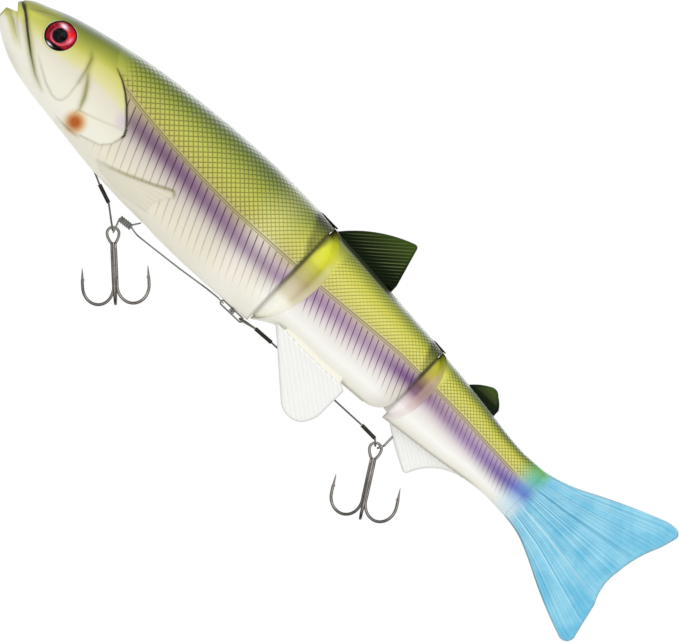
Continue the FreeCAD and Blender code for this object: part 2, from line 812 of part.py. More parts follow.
def keyhole():
    """Slot for the tail's bead, opening to the rear as wide as the tail swings."""
    room = size("bead_radius") + size("bead_gap")
    tall = size("bead_height") + 2 * size("bead_gap")
    opening = math.tan(math.radians(size("tail_travel") + size("swing_clearance")))
    neck = size("neck_thickness") / 2 + size("bead_gap")
    reach = 2 * size("bead_setback")
    corners = [
        Vector(BEAD_X, -neck, 0),
        Vector(BEAD_X + reach, -neck - reach * opening, 0),
        Vector(BEAD_X + reach, neck + reach * opening, 0),
        Vector(BEAD_X, neck, 0),
    ]
    mouth_of_slot = prism(corners, UP, tall / 2)
    seat = Part.makeCylinder(room, tall, Vector(BEAD_X, 0, -tall / 2), UP)
    return seat.fuse(mouth_of_slot)


def make_tail():
    """Soft forked tail, thick at its root, on a bead with a steel pin in it."""
    fan = body("tail_fan")
    drawing = sketch(fan, "tail_outline", "XZ_Plane")
    places = ("stump_x", "tail_along")
    outline(drawing, TAIL_CORNERS, places, "tail_length", ("tail_rise",), "tail_depth")
    pad(fan, drawing, "4 * Sizes.tail_root")
    start = Vector(total(places), 0, 0)
    end = start + Vector(size("tail_length"), 0, 0)
    turn = Rotation(UP, NOSE_TO_TAIL, ACROSS, "XYZ")
    wedge = taper("tail_taper", start, end, "Sizes.tail_root", "Sizes.tail_edge", turn)
    blade = common("tail_blade", fan, wedge)
    shoulder = doc.addObject("Part::Feature", "tail_shoulder_room")
    lean = math.tan(math.radians(size("tail_travel") + size("shoulder_clearance")))
    corners = [
        Vector(start.x - FAR, -FAR, 0),
        Vector(start.x + FAR * lean, -FAR, 0),
        start,
        Vector(start.x + FAR * lean, FAR, 0),
        Vector(start.x - FAR, FAR, 0),
    ]
    shoulder.Shape = prism(corners, UP)
    trimmed = cut_from("tail_trimmed", blade, shoulder)
    tall = size("bead_height")
    bead = rod("tail_bead", Vector(BEAD_X, 0, -tall / 2), Vector(BEAD_X, 0, tall / 2), "Sizes.bead_radius")
    neck = doc.addObject("Part::Box", "tail_neck")
    neck.Length = start.x + size("neck_root") - BEAD_X
    bind(neck, "Width", "Sizes.neck_thickness")
    bind(neck, "Height", "Sizes.bead_height")
    neck.Placement = Placement(Vector(BEAD_X, -size("neck_thickness") / 2, -tall / 2), Rotation())
    whole = joined("tail_whole", [trimmed, bead, neck])
    pin = rod("tail_pin", Vector(BEAD_X, 0, -tall / 2), Vector(BEAD_X, 0, tall / 2), "Sizes.bead_wire")
    cut_from("tail_fin", whole, pin)


# ---------------------------------------------------------------- fins
# Corners as shares of a fin's length and height, and the bulge of the edge that follows.
TAIL_CORNERS = (
    (0.0, -0.37, 0.0),
    (0.0, 0.37, -0.03),
    (0.30, 0.55, 0.015),
    (0.86, 0.98, 0.0),
    (0.95, 1.0, 0.2),
    (1.0, 0.92, 0.03),
    (0.93, 0.56, -0.04),
    (0.862, 0.09, -0.09),
    (0.90, -0.42, 0.0),
    (0.95, -0.86, 0.3),
    (0.88, -1.03, 0.045),
    (0.32, -0.54, -0.02),
)
DORSAL_CORNERS = (
    (0.0, 0.0, 0.0),
    (0.14, -0.04, 0.0),
    (0.16, -0.34, 0.0),
    (0.90, -0.46, 0.0),
    (0.92, -0.12, 0.0),
    (1.0, -0.12, 0.0),
    (1.0, 0.05, 0.0),
    (0.87, 0.94, -0.22),
    (0.81, 0.99, -0.07),
)
ADIPOSE_CORNERS = (
    (0.0, -0.1, 0.0),
    (0.10, -0.3, 0.0),
    (0.12, -1.1, 0.0),
    (0.88, -1.4, 0.0),
    (0.90, -0.7, 0.0),
    (1.0, -0.6, 0.0),
    (1.0, 0.02, -0.06),
    (0.75, 0.82, -0.2),
    (0.45, 0.98, -0.05),
)
PELVIC_CORNERS = (
    (0.0, 0.0, 0.0),
    (0.61, -0.91, -0.18),
    (0.90, -0.92, -0.08),
    (0.99, -0.60, 0.0),
    (1.0, -0.06, 0.0),
    (0.92, 0.02, 0.0),
    (0.90, 0.2, 0.0),
    (0.14, 0.2, 0.0),
    (0.12, 0.02, 0.0),
)
ANAL_CORNERS = (
    (0.0, 0.0, -0.02),
    (0.46, -0.99, -0.25),
    (0.53, -0.90, 0.13),
    (1.0, 0.36, 0.0),
    (0.92, 0.44, 0.0),
    (0.90, 0.75, 0.0),
    (0.12, 0.36, 0.0),
    (0.10, 0.12, 0.0),
)


def fin(label, corners, prefix, joint_x, surface, way):
    """A flat fin with a tab at its root, thick there and thin at its far edge.

    It is placed from a joint, and from the height of the body's surface at a station.
    """
    blade = body(label + "_blade")
    drawing = sketch(blade, label + "_outline", "XZ_Plane")
    x_places = (joint_x, prefix + "_along")
    y_places = (surface, prefix + "_rise")
    outline(drawing, corners, x_places, prefix + "_length", y_places, prefix + "_height")
    pad(blade, drawing, "3 * Sizes.%s_root" % prefix)
    base = total(y_places)
    inside = Vector(0, 0, base - way * size("fin_tab"))
    edge = Vector(0, 0, base + way * size(prefix + "_height"))
    wedge = taper(label + "_taper", inside, edge, "Sizes.%s_root" % prefix, "Sizes.%s_edge" % prefix,
                  Rotation(NOSE_TO_TAIL, way * 90), 5 * FAR)
    return common(label, blade, wedge)


def make_pelvic(name, side):
    """One of the paired fins, splayed out from its root."""
    made = fin("pelvic_fin_" + name, PELVIC_CORNERS, "pelvic", "front_rim_x", "belly_step_belly", -1)
    base = total(("belly_step_belly", "pelvic_rise"))
    splay = Rotation(NOSE_TO_TAIL, side * size("pelvic_splay"))
    root = Placement(Vector(0, side * size("pelvic_spread"), base), splay)
    made.Placement = root * Placement(Vector(0, 0, -base), Rotation())
    return made


# ---------------------------------------------------------------- wire rig
def link(label, front, y):
    """An oval link standing on edge, its front end at x = front."""
    bend = size("link_height") / 2
    level = FRONT.belly(HANGER_X) - size("link_drop")
    near = Vector(front + bend, y, level)
    far = Vector(front + size("link_length") - bend, y, level)
    rise = UP * bend
    path = Part.Wire([
        Part.LineSegment(near + rise, far + rise).toShape(),
        Part.Arc(far + rise, far + NOSE_TO_TAIL * bend, far - rise).toShape(),
        Part.LineSegment(far - rise, near - rise).toShape(),
        Part.Arc(near - rise, near - NOSE_TO_TAIL * bend, near + rise).toShape(),
    ])
    feature(label, wire_along(path, size("link_wire")))


def hook_seat(hook, start, share):
    """Where a loop that comes from start sits inside a treble hook's ring."""
    back = (start - hook).normalize()
    return hook + back * (size("loop_seat") * share)


def make_front_rig():
    """Wires under the front section: leader, its loop, the knotted line and its loops."""
    crimp_start = hung(FRONT, "crimp_front")
    crimp_end = hung(FRONT, "crimp_rear")
    hook = hung(FRONT, "front_hook")
    crimp = rod("front_leader_crimp", crimp_start, crimp_end, "Sizes.crimp_radius")
    wire_run = rod("front_leader_run", LEADER_ROOT, crimp_start, "Sizes.wire_radius")
    cut_from("front_leader_wire", wire_run, crimp)
    half = size("loop_half")
    wire = size("wire_radius")
    seat = hook_seat(hook, crimp_end, 1.0)
    bight = feature("front_leader_bight", wire_loop(crimp_end, seat, ACROSS, half, wire))
    cut_from("front_leader_loop", bight, crimp)
    knot_start = hung(FRONT, "knot_front")
    knot_end = hung(FRONT, "knot_rear")
    line = size("stinger_radius")
    deeper = hook_seat(hook, knot_start, 0.3)
    bight = feature("stinger_bight", wire_loop(knot_start, deeper, ACROSS, half, line))
    knot = make_knot(knot_start, knot_end)
    cut_from("stinger_loop", bight, knot)
    names = ("line_dip", "line_rise", "line_middle", "line_rear", "line_end")
    points = [knot_end] + [hung(FRONT, name) for name in names]
    run = feature("stinger_run", wire_along(bent_path(points, size("line_bend")), line))
    level = FRONT.belly(HANGER_X) - size("link_drop")
    centre = Vector(link_front(), size("link_offset"), level)
    eye = ring("stinger_end_loop", centre, UP, "Sizes.line_loop", "Sizes.line_loop_wire")
    cut_from("stinger_line", joined("stinger_whole", [run, eye]), knot)
    link("stinger_link", link_front(), size("link_offset"))
    link("leader_link", HANGER_X - size("link_play"), -size("link_offset"))


def link_front():
    return HANGER_X - size("link_length") + size("link_play")


def make_knot(start, end):
    """The coils of the line round itself, with its cut end standing off the last one."""
    along = end - start
    turns = int(size("knot_turns"))
    inner = size("knot_wire")
    pieces = [rod("knot_core", start, end, "Sizes.knot_ring")]
    for turn in range(turns):
        centre = start + along * ((turn + 0.5) / turns)
        coil = ring("knot_turn_%d" % (turn + 1), centre, along, "Sizes.knot_ring", "Sizes.knot_wire")
        pieces.append(coil)
    root = end - along * (inner / along.Length) + UP * size("knot_ring")
    tag = Vector(size("tag_reach"), 0, size("tag_rise"))
    pieces.append(rod("knot_tag", root, root + tag, "Sizes.stinger_radius"))
    return joined("line_knot", pieces)


def make_rear_rig():
    """The second leader, from the belly link to the rear treble's ring."""
    front = hung(MID, "second_crimp_front")
    rear = hung(MID, "second_crimp_rear")
    seat = hung(FRONT, "second_seat", -size("link_offset"))
    wire = size("wire_radius")
    roll = math.radians(size("second_loop_roll"))
    rolled = Vector(0, math.cos(roll), math.sin(roll))
    bight = feature("rear_leader_bight", wire_loop(front, seat, rolled, size("second_loop_half"), wire))
    crimp = rod("rear_leader_front_crimp", front, rear, "Sizes.crimp_radius")
    cut_from("rear_leader_front_loop", bight, crimp)
    wire_run = rod("rear_leader_run", rear, hung(MID, "wire_rear"), "Sizes.wire_radius")
    cut_from("rear_leader_wire", wire_run, crimp)
    start = hung(MID, "third_crimp_front")
    end = hung(REAR, "third_crimp_rear")
    hook = hung(REAR, "rear_hook")
    crimp = rod("rear_leader_crimp", start, end, "Sizes.crimp_radius")
    rear_seat = hook_seat(hook, end, 1.0)
    bight = feature("rear_leader_rear_bight", wire_loop(end, rear_seat, ACROSS, size("loop_half"), wire))
    cut_from("rear_leader_loop", bight, crimp)


def make_rear_hanger():
    """A ring on a stem, round the top of the rear treble's ring."""
    hook = hung(REAR, "rear_hook")
    lean = math.radians(size("rear_hanger_lean"))
    back = Vector(math.sin(lean), 0, math.cos(lean))
    centre = hook + back * size("hook_eye")
    axis = back.cross(ACROSS)
    loop = ring("rear_hanger_loop", centre, axis, "Sizes.rear_hanger_ring", "Sizes.hanger_wire")
    foot = centre + back * size("rear_hanger_ring")
    stem = rod("rear_hanger_rod", foot, foot + UP * size("rear_hanger_length"), "Sizes.rear_hanger_stem")
    return joined("rear_hanger", [loop, stem])


# ---------------------------------------------------------------- treble hooks
def hook_bend(top):
    """One hook of a treble about its shank line, from z = top down, round and up to the point."""
    wire = size("hook_wire")
    shank = 2 * wire / math.sqrt(3) + size("hook_gap")
    gape = size("hook_gape")
    foot = -size("hook_shank")
    start = Vector(shank, 0, top)
    low = Vector(shank, 0, foot)
    bottom = Vector(shank + gape, 0, foot - gape)
    rise = Vector(shank + 2 * gape, 0, foot)
    end = rise + UP * size("hook_leg")
    path = Part.Wire([
        Part.LineSegment(start, low).toShape(),
        Part.Arc(low, bottom, rise).toShape(),
        Part.LineSegment(rise, end).toShape(),
    ])
    point = Part.makeCone(wire, size("hook_tip"), size("hook_point"), end, UP)
    return wire_along(path, wire).fuse(point)


def make_treble(prefix, hook, rest):
    """Two hooks that share a ring, and a third laid against them."""
    seat = Placement(hook, Rotation(ACROSS, -rest))
    ring_radius = size("hook_eye")
    eye = Part.makeTorus(ring_radius, size("hook_wire"), Vector(), ACROSS)
    shanks = []
    for azimuth in (30, 150):
        shank = hook_bend(-ring_radius)
        shank.rotate(Vector(), UP, azimuth)
        shanks.append(shank)
    double = doc.addObject("Part::Feature", prefix + "_double")
    double.Shape = eye.fuse(shanks)
    double.Placement = seat
    single = doc.addObject("Part::Feature", prefix + "_single")
    single.Shape = hook_bend(-ring_radius - size("hook_wire") - size("hook_drop"))
    single.Placement = seat * Placement(Vector(), Rotation(UP, -90))


# ---------------------------------------------------------------- assembly
hanger_centre = Vector(HANGER_X, 0, FRONT.belly(HANGER_X))
hanger = ring("belly_hanger", hanger_centre, NOSE_TO_TAIL, "Sizes.hanger_ring", "Sizes.hanger_wire")
doc.recompute()
front_pin, front_slots = make_front(hanger.Shape)

dorsal = fin("dorsal_fin", DORSAL_CORNERS, "dorsal", "front_rim_x", "collar_back", 1)
pelvics = [make_pelvic("left", -1), make_pelvic("right", 1)]
doc.recompute()
middle_cuts = [piece.Shape for piece in [dorsal] + pelvics]
rear_pin, rear_slots = make_middle(front_pin, front_slots, middle_cuts)

adipose = fin("adipose_fin", ADIPOSE_CORNERS, "adipose", "rear_rim_x", "vent_back", 1)
rear_hanger = make_rear_hanger()
anal_blank = fin("anal_fin_blank", ANAL_CORNERS, "anal", "rear_rim_x", "rear_collar_belly", -1)
anal = cut_from("anal_fin", anal_blank, rear_hanger)
doc.recompute()
make_rear(rear_pin, rear_slots, [adipose.Shape, anal.Shape, rear_hanger.Shape])
make_tail()

make_front_rig()
make_rear_rig()
make_treble("front_treble", hung(FRONT, "front_hook"), size("front_hook_rest"))
make_treble("rear_treble", hung(REAR, "rear_hook"), size("rear_hook_rest"))
doc.recompute()

# ---------------------------------------------------------------- sub-parts
NODES = (
    "head_shell_left", "head_shell_right", "eye_iris_left", "eye_iris_right",
    "eye_lens_left", "eye_lens_right", "line_tube", "front_ballast", "front_hinge_lugs",
    "belly_hanger", "stinger_link", "leader_link",
    "mid_shell_left", "mid_shell_right", "dorsal_fin", "pelvic_fin_left", "pelvic_fin_right",
    "mid_ballast", "front_hinge_pin", "rear_hinge_lugs", "rear_leader_front_loop",
    "rear_leader_front_crimp", "rear_leader_wire",
    "rear_shell_left", "rear_shell_right", "adipose_fin", "anal_fin", "rear_hinge_pin",
    "rear_hanger", "rear_leader_crimp", "rear_leader_loop",
    "tail_fin", "tail_pin",
    "front_leader_wire", "front_leader_crimp", "front_leader_loop", "line_knot",
    "stinger_loop", "stinger_line",
    "front_treble_double", "front_treble_single", "rear_treble_double", "rear_treble_single",
)


def check_and_write():
    for item in doc.Objects:
        if "Invalid" in item.State or "Error" in item.State:
            raise RuntimeError("%s did not compute: %s" % (item.Label, item.State))
    os.makedirs("parts", exist_ok=True)
    for node in NODES:
        item = doc.getObjectsByLabel(node)[0]
        shape = item.Shape
        if shape.isNull() or not shape.isValid():
            raise RuntimeError("%s has no valid shape" % node)
        solids = len(shape.Solids)
        print("%-26s solids %d volume %10.2f" % (node, solids, shape.Volume))
        shape.exportStep("parts/%s.step" % node)


check_and_write()
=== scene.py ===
"""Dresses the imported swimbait: painted skins, eyes, fins, soft tail, rig, hooks and stage.

Lengths in the tables are millimetres in the frame's own axes: X from nose to tail, Z up to
the dorsal fin, left flank towards -Y.
"""

import math

import bpy
import numpy as np
from bpy.props import FloatProperty, FloatVectorProperty, IntProperty, PointerProperty
from mathutils import Matrix, Vector
from mathutils.geometry import delaunay_2d_cdt


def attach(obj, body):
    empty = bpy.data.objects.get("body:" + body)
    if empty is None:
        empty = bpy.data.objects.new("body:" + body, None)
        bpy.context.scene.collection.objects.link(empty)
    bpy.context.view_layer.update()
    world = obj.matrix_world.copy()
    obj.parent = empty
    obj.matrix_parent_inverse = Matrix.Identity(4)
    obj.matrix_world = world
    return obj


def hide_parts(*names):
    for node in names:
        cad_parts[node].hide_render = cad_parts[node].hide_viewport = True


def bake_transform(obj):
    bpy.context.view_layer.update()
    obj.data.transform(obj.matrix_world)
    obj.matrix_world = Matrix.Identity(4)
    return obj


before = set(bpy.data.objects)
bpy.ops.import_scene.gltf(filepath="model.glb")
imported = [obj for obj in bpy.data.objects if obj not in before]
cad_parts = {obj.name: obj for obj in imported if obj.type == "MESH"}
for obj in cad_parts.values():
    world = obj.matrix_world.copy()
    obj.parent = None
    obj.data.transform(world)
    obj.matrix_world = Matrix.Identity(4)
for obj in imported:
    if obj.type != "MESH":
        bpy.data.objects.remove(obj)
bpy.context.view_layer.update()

bl_info = {
    "name": "Swimbait",
    "version": (1, 0, 0),
    "blender": (4, 5, 0),
    "location": "View3D > Sidebar > Swimbait",
    "description": "Builds the painted three-section swimbait round its packed frame",
    "category": "Object",
}

MM = 0.001


# The curve from a colour card's values to amounts of light.
CARD_WHITE = 255
CURVE_START = 0.04045
CURVE_SLOPE = 12.92
CURVE_SHIFT = 0.055
CURVE_POWER = 2.4


def tint(red, green, blue):
    """A colour read off a colour card, as the linear values that a shader takes."""
    shares = [value / CARD_WHITE for value in (red, green, blue)]
    return tuple(s / CURVE_SLOPE if s <= CURVE_START
                 else ((s + CURVE_SHIFT) / (1 + CURVE_SHIFT)) ** CURVE_POWER for s in shares)


# -------- the body's own lines
STATIONS = {
    "tip": (-2.9, -1.5, -3.9, 1.2),
    "lip": (-0.6, 3.7, -6.6, 3.6),
    "brow": (6.5, 7.3, -10.8, 6.6),
    "orbit": (14.6, 10.3, -13.5, 8.8),
    "gill": (31.0, 14.1, -16.1, 10.9),
    "shoulder": (52.0, 17.2, -18.8, 12.0),
    "deepest": (84.0, 19.2, -20.1, 12.6),
    "front_rim": (112.0, 18.3, -19.2, 11.6),
    "collar": (112.0, 17.9, -18.4, 11.1),
    "belly_step": (120.0, 17.3, -14.3, 10.8),
    "saddle": (138.0, 15.6, -14.0, 10.0),
    "rear_rim": (160.4, 13.6, -12.8, 8.4),
    "rear_collar": (160.4, 13.3, -12.6, 8.1),
    "vent": (178.0, 10.9, -10.8, 6.3),
    "wrist": (197.0, 8.2, -8.4, 4.2),
    "stump": (206.5, 8.5, -8.8, 3.2),
}
WAIST_SHARE = 0.54             # height of the widest level, as a share of the depth
FRONT_PIVOT = 112.0
REAR_PIVOT = 160.4
COLLAR_GAP = 0.25
COLLAR_FLARE = math.tan(math.radians(38.0))
CORNER_ROUND = 7.0
STUMP = 206.5
SKIN_END = 206.9
TAIL_START = 206.55
NOSE = STATIONS["tip"][0]
THROAT = 49.5                  # where the line tube leaves the belly
FOLD = 0.7                     # depth of a skin's folded edge
REAR_FOLD = 0.15
HEAD_END = 25.0                # behind it the front skin has no openings
EYE_ROOM = 0.25                # between an eye and the skin
SETTLING_ROUNDS = 8
NOT_ZERO = 0.001

# Places along the lure, and a height or a strength at each.
LATERAL = (
    (-3, -0.5), (7, 1), (22, 3.5), (33, 5.8), (40, 5.5), (47, 4.4), (57, 3.3), (67, 2.5), (77, 2),
    (87, 1.7), (97, 2), (111, 2.4), (121, 2.9), (132, 3.6), (142, 4.2), (152, 4.7), (160, 4.5), (166, 4.4),
    (177, 4), (187, 3.3), (197, 2.7), (210, 1.8),
)
VIOLET = (
    (-3, -0.5), (52, -0.5), (82, -2.5), (102, -4), (112, -3.2), (121, -0.6), (147, 0.3), (155, 0.7),
    (163, 1), (177, 0.2), (197, -0.9), (210, -1),
)
VIOLET_STRENGTH = (
    (-3, 0), (42, 0), (47, 0.7), (60, 0.88), (80, 0.85), (100, 0.72), (112, 0.7), (121, 0.74), (140, 0.62),
    (150, 0.72), (160, 0.95), (170, 0.82), (190, 0.85), (200, 0.95), (210, 0.95),
)

# Paint from belly to back: a place between 0 and 1, where 0.5 is the lateral line, and the
# colour card or the panel's colour there.
FRONT_PAINT = (
    (0, "belly"), (0.14, (240, 233, 211)), (0.26, (224, 217, 201)), (0.36, (208, 197, 188)),
    (0.46, (184, 170, 136)), (0.5, (186, 176, 112)), (0.56, (196, 190, 92)), (0.68, (190, 191, 78)),
    (0.80, "olive"), (0.90, (118, 132, 58)), (1, "back"),
)
MID_PAINT = (
    (0, "belly"), (0.13, (254, 253, 247)), (0.22, (240, 236, 230)), (0.31, (228, 217, 218)),
    (0.39, (216, 200, 204)), (0.46, (200, 184, 158)), (0.5, (204, 193, 140)), (0.56, (214, 207, 108)),
    (0.68, (222, 218, 108)), (0.8, "yellow"), (0.9, (158, 164, 62)), (1, (72, 84, 40)),
)
HEAD_PAINT = (
    (0, (252, 250, 238)), (0.2, (242, 239, 222)), (0.36, "pearl"), (0.42, (222, 218, 156)),
    (0.5, (205, 202, 110)), (0.58, (186, 186, 74)), (0.7, (156, 162, 56)), (0.84, (122, 132, 46)),
    (0.93, (98, 108, 48)), (1, (80, 88, 54)),
)
# Colours of the violet band, from its start on the flank to the tail.
VIOLET_START = 40.0
VIOLET_RUN = 170.0
VIOLET_PAINT = (
    (0, (102, 70, 100)), (0.18, (112, 72, 120)), (0.36, (134, 98, 140)), (0.5, (148, 108, 156)),
    (0.62, (140, 98, 150)), (0.7, (106, 62, 122)), (0.76, (140, 104, 140)), (0.86, "violet"),
    (0.95, (104, 84, 166)), (1, (92, 110, 200)),
)
# Paint by height where the body runs into the tail. Its run has the axis at its middle.
ROOT_RUN = 20.0
ROOT_PAINT = (
    (0.08, (214, 232, 238)), (0.24, (198, 224, 236)), (0.36, (158, 190, 226)), (0.46, (100, 126, 200)),
    (0.54, (98, 138, 202)), (0.64, (112, 178, 192)), (0.76, (92, 186, 158)), (0.9, (108, 176, 104)),
)
# Paint of the smooth collars by height. Its run has the axis at its middle.
COLLAR_RUN = 36.0
FRONT_COLLAR_PAINT = (
    (0.05, (244, 242, 222)), (0.16, (252, 251, 240)), (0.28, (250, 248, 234)), (0.34, (224, 215, 188)),
    (0.44, (206, 194, 162)), (0.5, (190, 178, 128)), (0.6, (194, 187, 96)), (0.66, (200, 198, 74)),
    (0.7, (222, 222, 78)), (0.82, (230, 231, 68)), (0.91, (208, 212, 66)), (0.98, (96, 104, 48)),
)
REAR_COLLAR_PAINT = (
    (0.14, (250, 246, 240)), (0.32, (254, 248, 246)), (0.4, (222, 205, 208)), (0.47, (142, 106, 132)),
    (0.54, (116, 84, 88)), (0.6, (152, 128, 90)), (0.65, (190, 176, 84)), (0.74, (200, 196, 66)),
    (0.82, (172, 174, 54)), (0.9, (70, 78, 36)),
)


def along_stations(x, places, values):
    """Cubic curve through the stations, straight on past both ends."""
    places = np.asarray(places, float)
    values = np.asarray(values, float)
    last = len(places) - 1
    before = np.maximum(np.arange(last + 1) - 1, 0)
    after = np.minimum(np.arange(last + 1) + 1, last)
    slopes = (values[after] - values[before]) / (places[after] - places[before])
    x = np.asarray(x, float)
    i = np.clip(np.searchsorted(places, x, side="right") - 1, 0, last - 1)
    span = places[i + 1] - places[i]
    t = (x - places[i]) / span
    start = (1 + 2 * t) * (1 - t) ** 2 * values[i] + t * (1 - t) ** 2 * span * slopes[i]
    end = t * t * (3 - 2 * t) * values[i + 1] + t * t * (t - 1) * span * slopes[i + 1]
    curve = start + end
    curve = np.where(x < places[0], values[0] + slopes[0] * (x - places[0]), curve)
    return np.where(x > places[last], values[last] + slopes[last] * (x - places[last]), curve)


class Section:
    """Back, belly and girth of one section of the body."""

    def __init__(self, *names):
        self.columns = list(zip(*(STATIONS[name] for name in names)))

    def oval(self, x):
        """Half width, widest level, rise above it and drop below it, at x."""
        places, backs, bellies, halves = self.columns
        top = along_stations(x, places, backs)
        bottom = along_stations(x, places, bellies)
        middle = bottom + WAIST_SHARE * (top - bottom)
        return along_stations(x, places, halves), middle, top - middle, middle - bottom

    def surface(self, x, turn):
        """Points of the outside, at x and an angle round the girth from the left waist up."""
        half, middle, rise, drop = self.oval(x)
        reach = np.where(np.sin(turn) > 0, rise, drop)
        return np.stack([x, -half * np.cos(turn), middle + reach * np.sin(turn)], axis=-1)

    def side(self, x, z):
        """Distance from the middle plane to the flank, at x and height z."""
        half, middle, rise, drop = self.oval(x)
        reach = np.where(z > middle, rise, drop)
        return half * np.sqrt(np.clip(1 - ((z - middle) / reach) ** 2, 0, None))


FRONT = Section("tip", "lip", "brow", "orbit", "gill", "shoulder", "deepest", "front_rim")
MID = Section("collar", "belly_step", "saddle", "rear_rim")
REAR = Section("rear_collar", "vent", "wrist", "stump")


def level(x, table):
    """Height of a line of the body at x."""
    places, heights = zip(*table)
    return np.interp(x, places, heights)


def ease(value, low, high):
    """0 below low, 1 above high, and a smooth rise between them."""
    share = np.clip((value - low) / (high - low), 0, 1)
    return share * share * (3 - 2 * share)


def distance(x, z, line):
    """Distance in the side view from points to a line of corners, and how far along it is."""
    nearest = np.full(np.shape(x), np.inf)
    share = np.zeros(np.shape(x))
    corners = np.asarray(line, float)[:, :2]
    runs = np.hypot(*np.diff(corners, axis=0).T)
    done = 0.0
    for start, end, run in zip(corners[:-1], corners[1:], runs):
        way = end - start
        t = np.clip(((x - start[0]) * way[0] + (z - start[1]) * way[1]) / (run * run), 0, 1)
        gap = np.hypot(x - start[0] - t * way[0], z - start[1] - t * way[1])
        closer = gap < nearest
        nearest = np.where(closer, gap, nearest)
        share = np.where(closer, (done + t * run) / runs.sum(), share)
        done += run
    return nearest, share


def inside(x, z, corners):
    """Whether points of the side view lie inside a closed outline."""
    found = np.zeros(np.shape(x), bool)
    corners = np.asarray(corners, float)
    for (x0, z0), (x1, z1) in zip(corners, np.roll(corners, -1, axis=0)):
        if z0 == z1:
            continue
        crosses = (z0 > z) != (z1 > z)
        found ^= crosses & (x < (x1 - x0) * (z - z0) / (z1 - z0) + x0)
    return found


def zigzag(phase):
    """0 on whole numbers and 1 half way between them."""
    return 1 - np.abs(2 * (phase - np.floor(phase)) - 1)


# -------- what a user would change
def panel_length(name, description, default, low, high):
    """A length that the panel shows, in metres."""
    return FloatProperty(name=name, description=description, default=default, min=low, max=high,
                         subtype="DISTANCE", unit="LENGTH")


class SwimbaitSizes(bpy.types.PropertyGroup):
    """Relief of the moulding in metres, step of the skins' mesh and rays of the tail."""

    skin_proud: panel_length("Skin proud", "How far the painted skin stands off the shell",
                             0.0002, 0.0, 0.001)
    scale_pitch: panel_length("Scale pitch", "A scale is between 1.3 and 2.1 of these long",
                              0.001, 0.0005, 0.005)
    scale_height: panel_length("Scale height", "How far a scale's middle stands over its edge",
                               0.00011, 0.0, 0.0005)
    rib_depth: panel_length("Flank groove depth", "Depth of the slanted grooves on the flanks",
                            0.00013, 0.0, 0.0005)
    mesh_step: panel_length("Mesh step", "Distance between two rows of the skin's mesh",
                            0.0003, 0.0002, 0.002)
    tail_rays: IntProperty(name="Tail rays", description="Rays moulded in the soft tail",
                           default=30, min=6, max=60)


def colour(name, description, *card):
    """A colour that the panel shows, given as a colour card's values."""
    return FloatVectorProperty(name=name, description=description, default=tint(*card),
                               subtype="COLOR", size=3, min=0.0, max=1.0)


class SwimbaitColours(bpy.types.PropertyGroup):
    """Colours of the paint and the fittings."""

    back: colour("Back", "Paint along the top of the back", 74, 86, 52)
    olive: colour("Olive", "Upper flank of the front section", 160, 168, 62)
    yellow: colour("Yellow", "Upper flank of the middle and rear sections", 212, 210, 84)
    violet: colour("Violet", "Band along the rear flank", 140, 106, 166)
    pearl: colour("Pearl", "Gill covers and lower flank", 228, 222, 204)
    belly: colour("Belly", "Underside", 243, 240, 226)
    # painted shade: the colour that the creases and jaw lines of the head are darkened towards
    crease: colour("Crease", "Paint left in the creases of the head", 34, 32, 4)
    orange: colour("Orange", "Spot under the gill cover", 186, 94, 16)
    eye_red: colour("Eye", "Iris foil", 158, 14, 36)
    fin_green: colour("Dark fins", "Dorsal and adipose fin", 54, 76, 22)
    fin_clear: colour("Clear fins", "Pelvic and anal fins", 250, 250, 247)
    tail: colour("Tail", "Soft tail", 147, 215, 238)
    steel: colour("Steel", "Leader wire", 104, 100, 95)
    line: colour("Line", "Stinger line", 120, 124, 120)


def sizes():
    """The panel's sizes."""
    return bpy.context.scene.swimbait_sizes


def colours():
    """The panel's colours."""
    return bpy.context.scene.swimbait_colours


def shade_of(card):
    """A colour of the panel by its name, or one read off a colour card."""
    return getattr(colours(), card) if isinstance(card, str) else tint(*card)


def millimetres(length):
    return length / MM


# -------- shader helpers
def wire(tree, value, socket):
    """Feeds a socket from another one, or sets its own value."""
    if isinstance(value, bpy.types.NodeSocket):
        tree.links.new(value, socket)
    elif socket.type == "RGBA":
        socket.default_value = (*value[:3], 1.0)
    else:
        socket.default_value = value


def add(tree, kind, values=(), output=0, **settings):
    """A new node with its sockets filled, and one of its outputs."""
    made = tree.nodes.new("ShaderNode" + kind)
    for name, value in settings.items():
        setattr(made, name, value)
    for key, value in dict(values).items():
        wire(tree, value, made.inputs[key])
    return made.outputs[output]


def maths(tree, operation, first, second=0.0, third=0.0):
    """One step of arithmetic."""
    return add(tree, "Math", {0: first, 1: second, 2: third}, operation=operation)


def times(tree, first, *others):
    """The product of two or more values."""
    for other in others:
        first = maths(tree, "MULTIPLY", first, other)
    return first


def rest_of(tree, share):
    """What a share leaves of 1."""
    return maths(tree, "SUBTRACT", 1.0, share)


def square(tree, value):
    return maths(tree, "MULTIPLY", value, value)


def bell(tree, value):
    """1 where a squared value is 0, and falling softly away from there."""
    return maths(tree, "EXPONENT", times(tree, value, -1.0))


def waves(tree, phase):
    """0 on whole numbers and 1 half way between them."""
    return times(tree, maths(tree, "PINGPONG", phase, 0.5), 2.0)


def spread(tree, value, low, high, start=0.0, end=1.0):
    """A smooth rise from start to end, as value goes from low to high."""
    return add(tree, "MapRange", {0: value, 1: low, 2: high, 3: start, 4: end},
               interpolation_type="SMOOTHSTEP")


def mix(tree, share, first, second, way="MIX"):
    """A colour between two, the second where share is 1."""
    return add(tree, "Mix", {0: share, 6: first, 7: second}, output=2, data_type="RGBA", blend_type=way)


def place_of(tree):
    """Place in the frame, in metres."""
    return add(tree, "TexCoord", output=3)


def parts_of(tree, vector):
    """The X, Y and Z of a vector."""
    split = tree.nodes.new("ShaderNodeSeparateXYZ")
    wire(tree, vector, split.inputs[0])
    return split.outputs


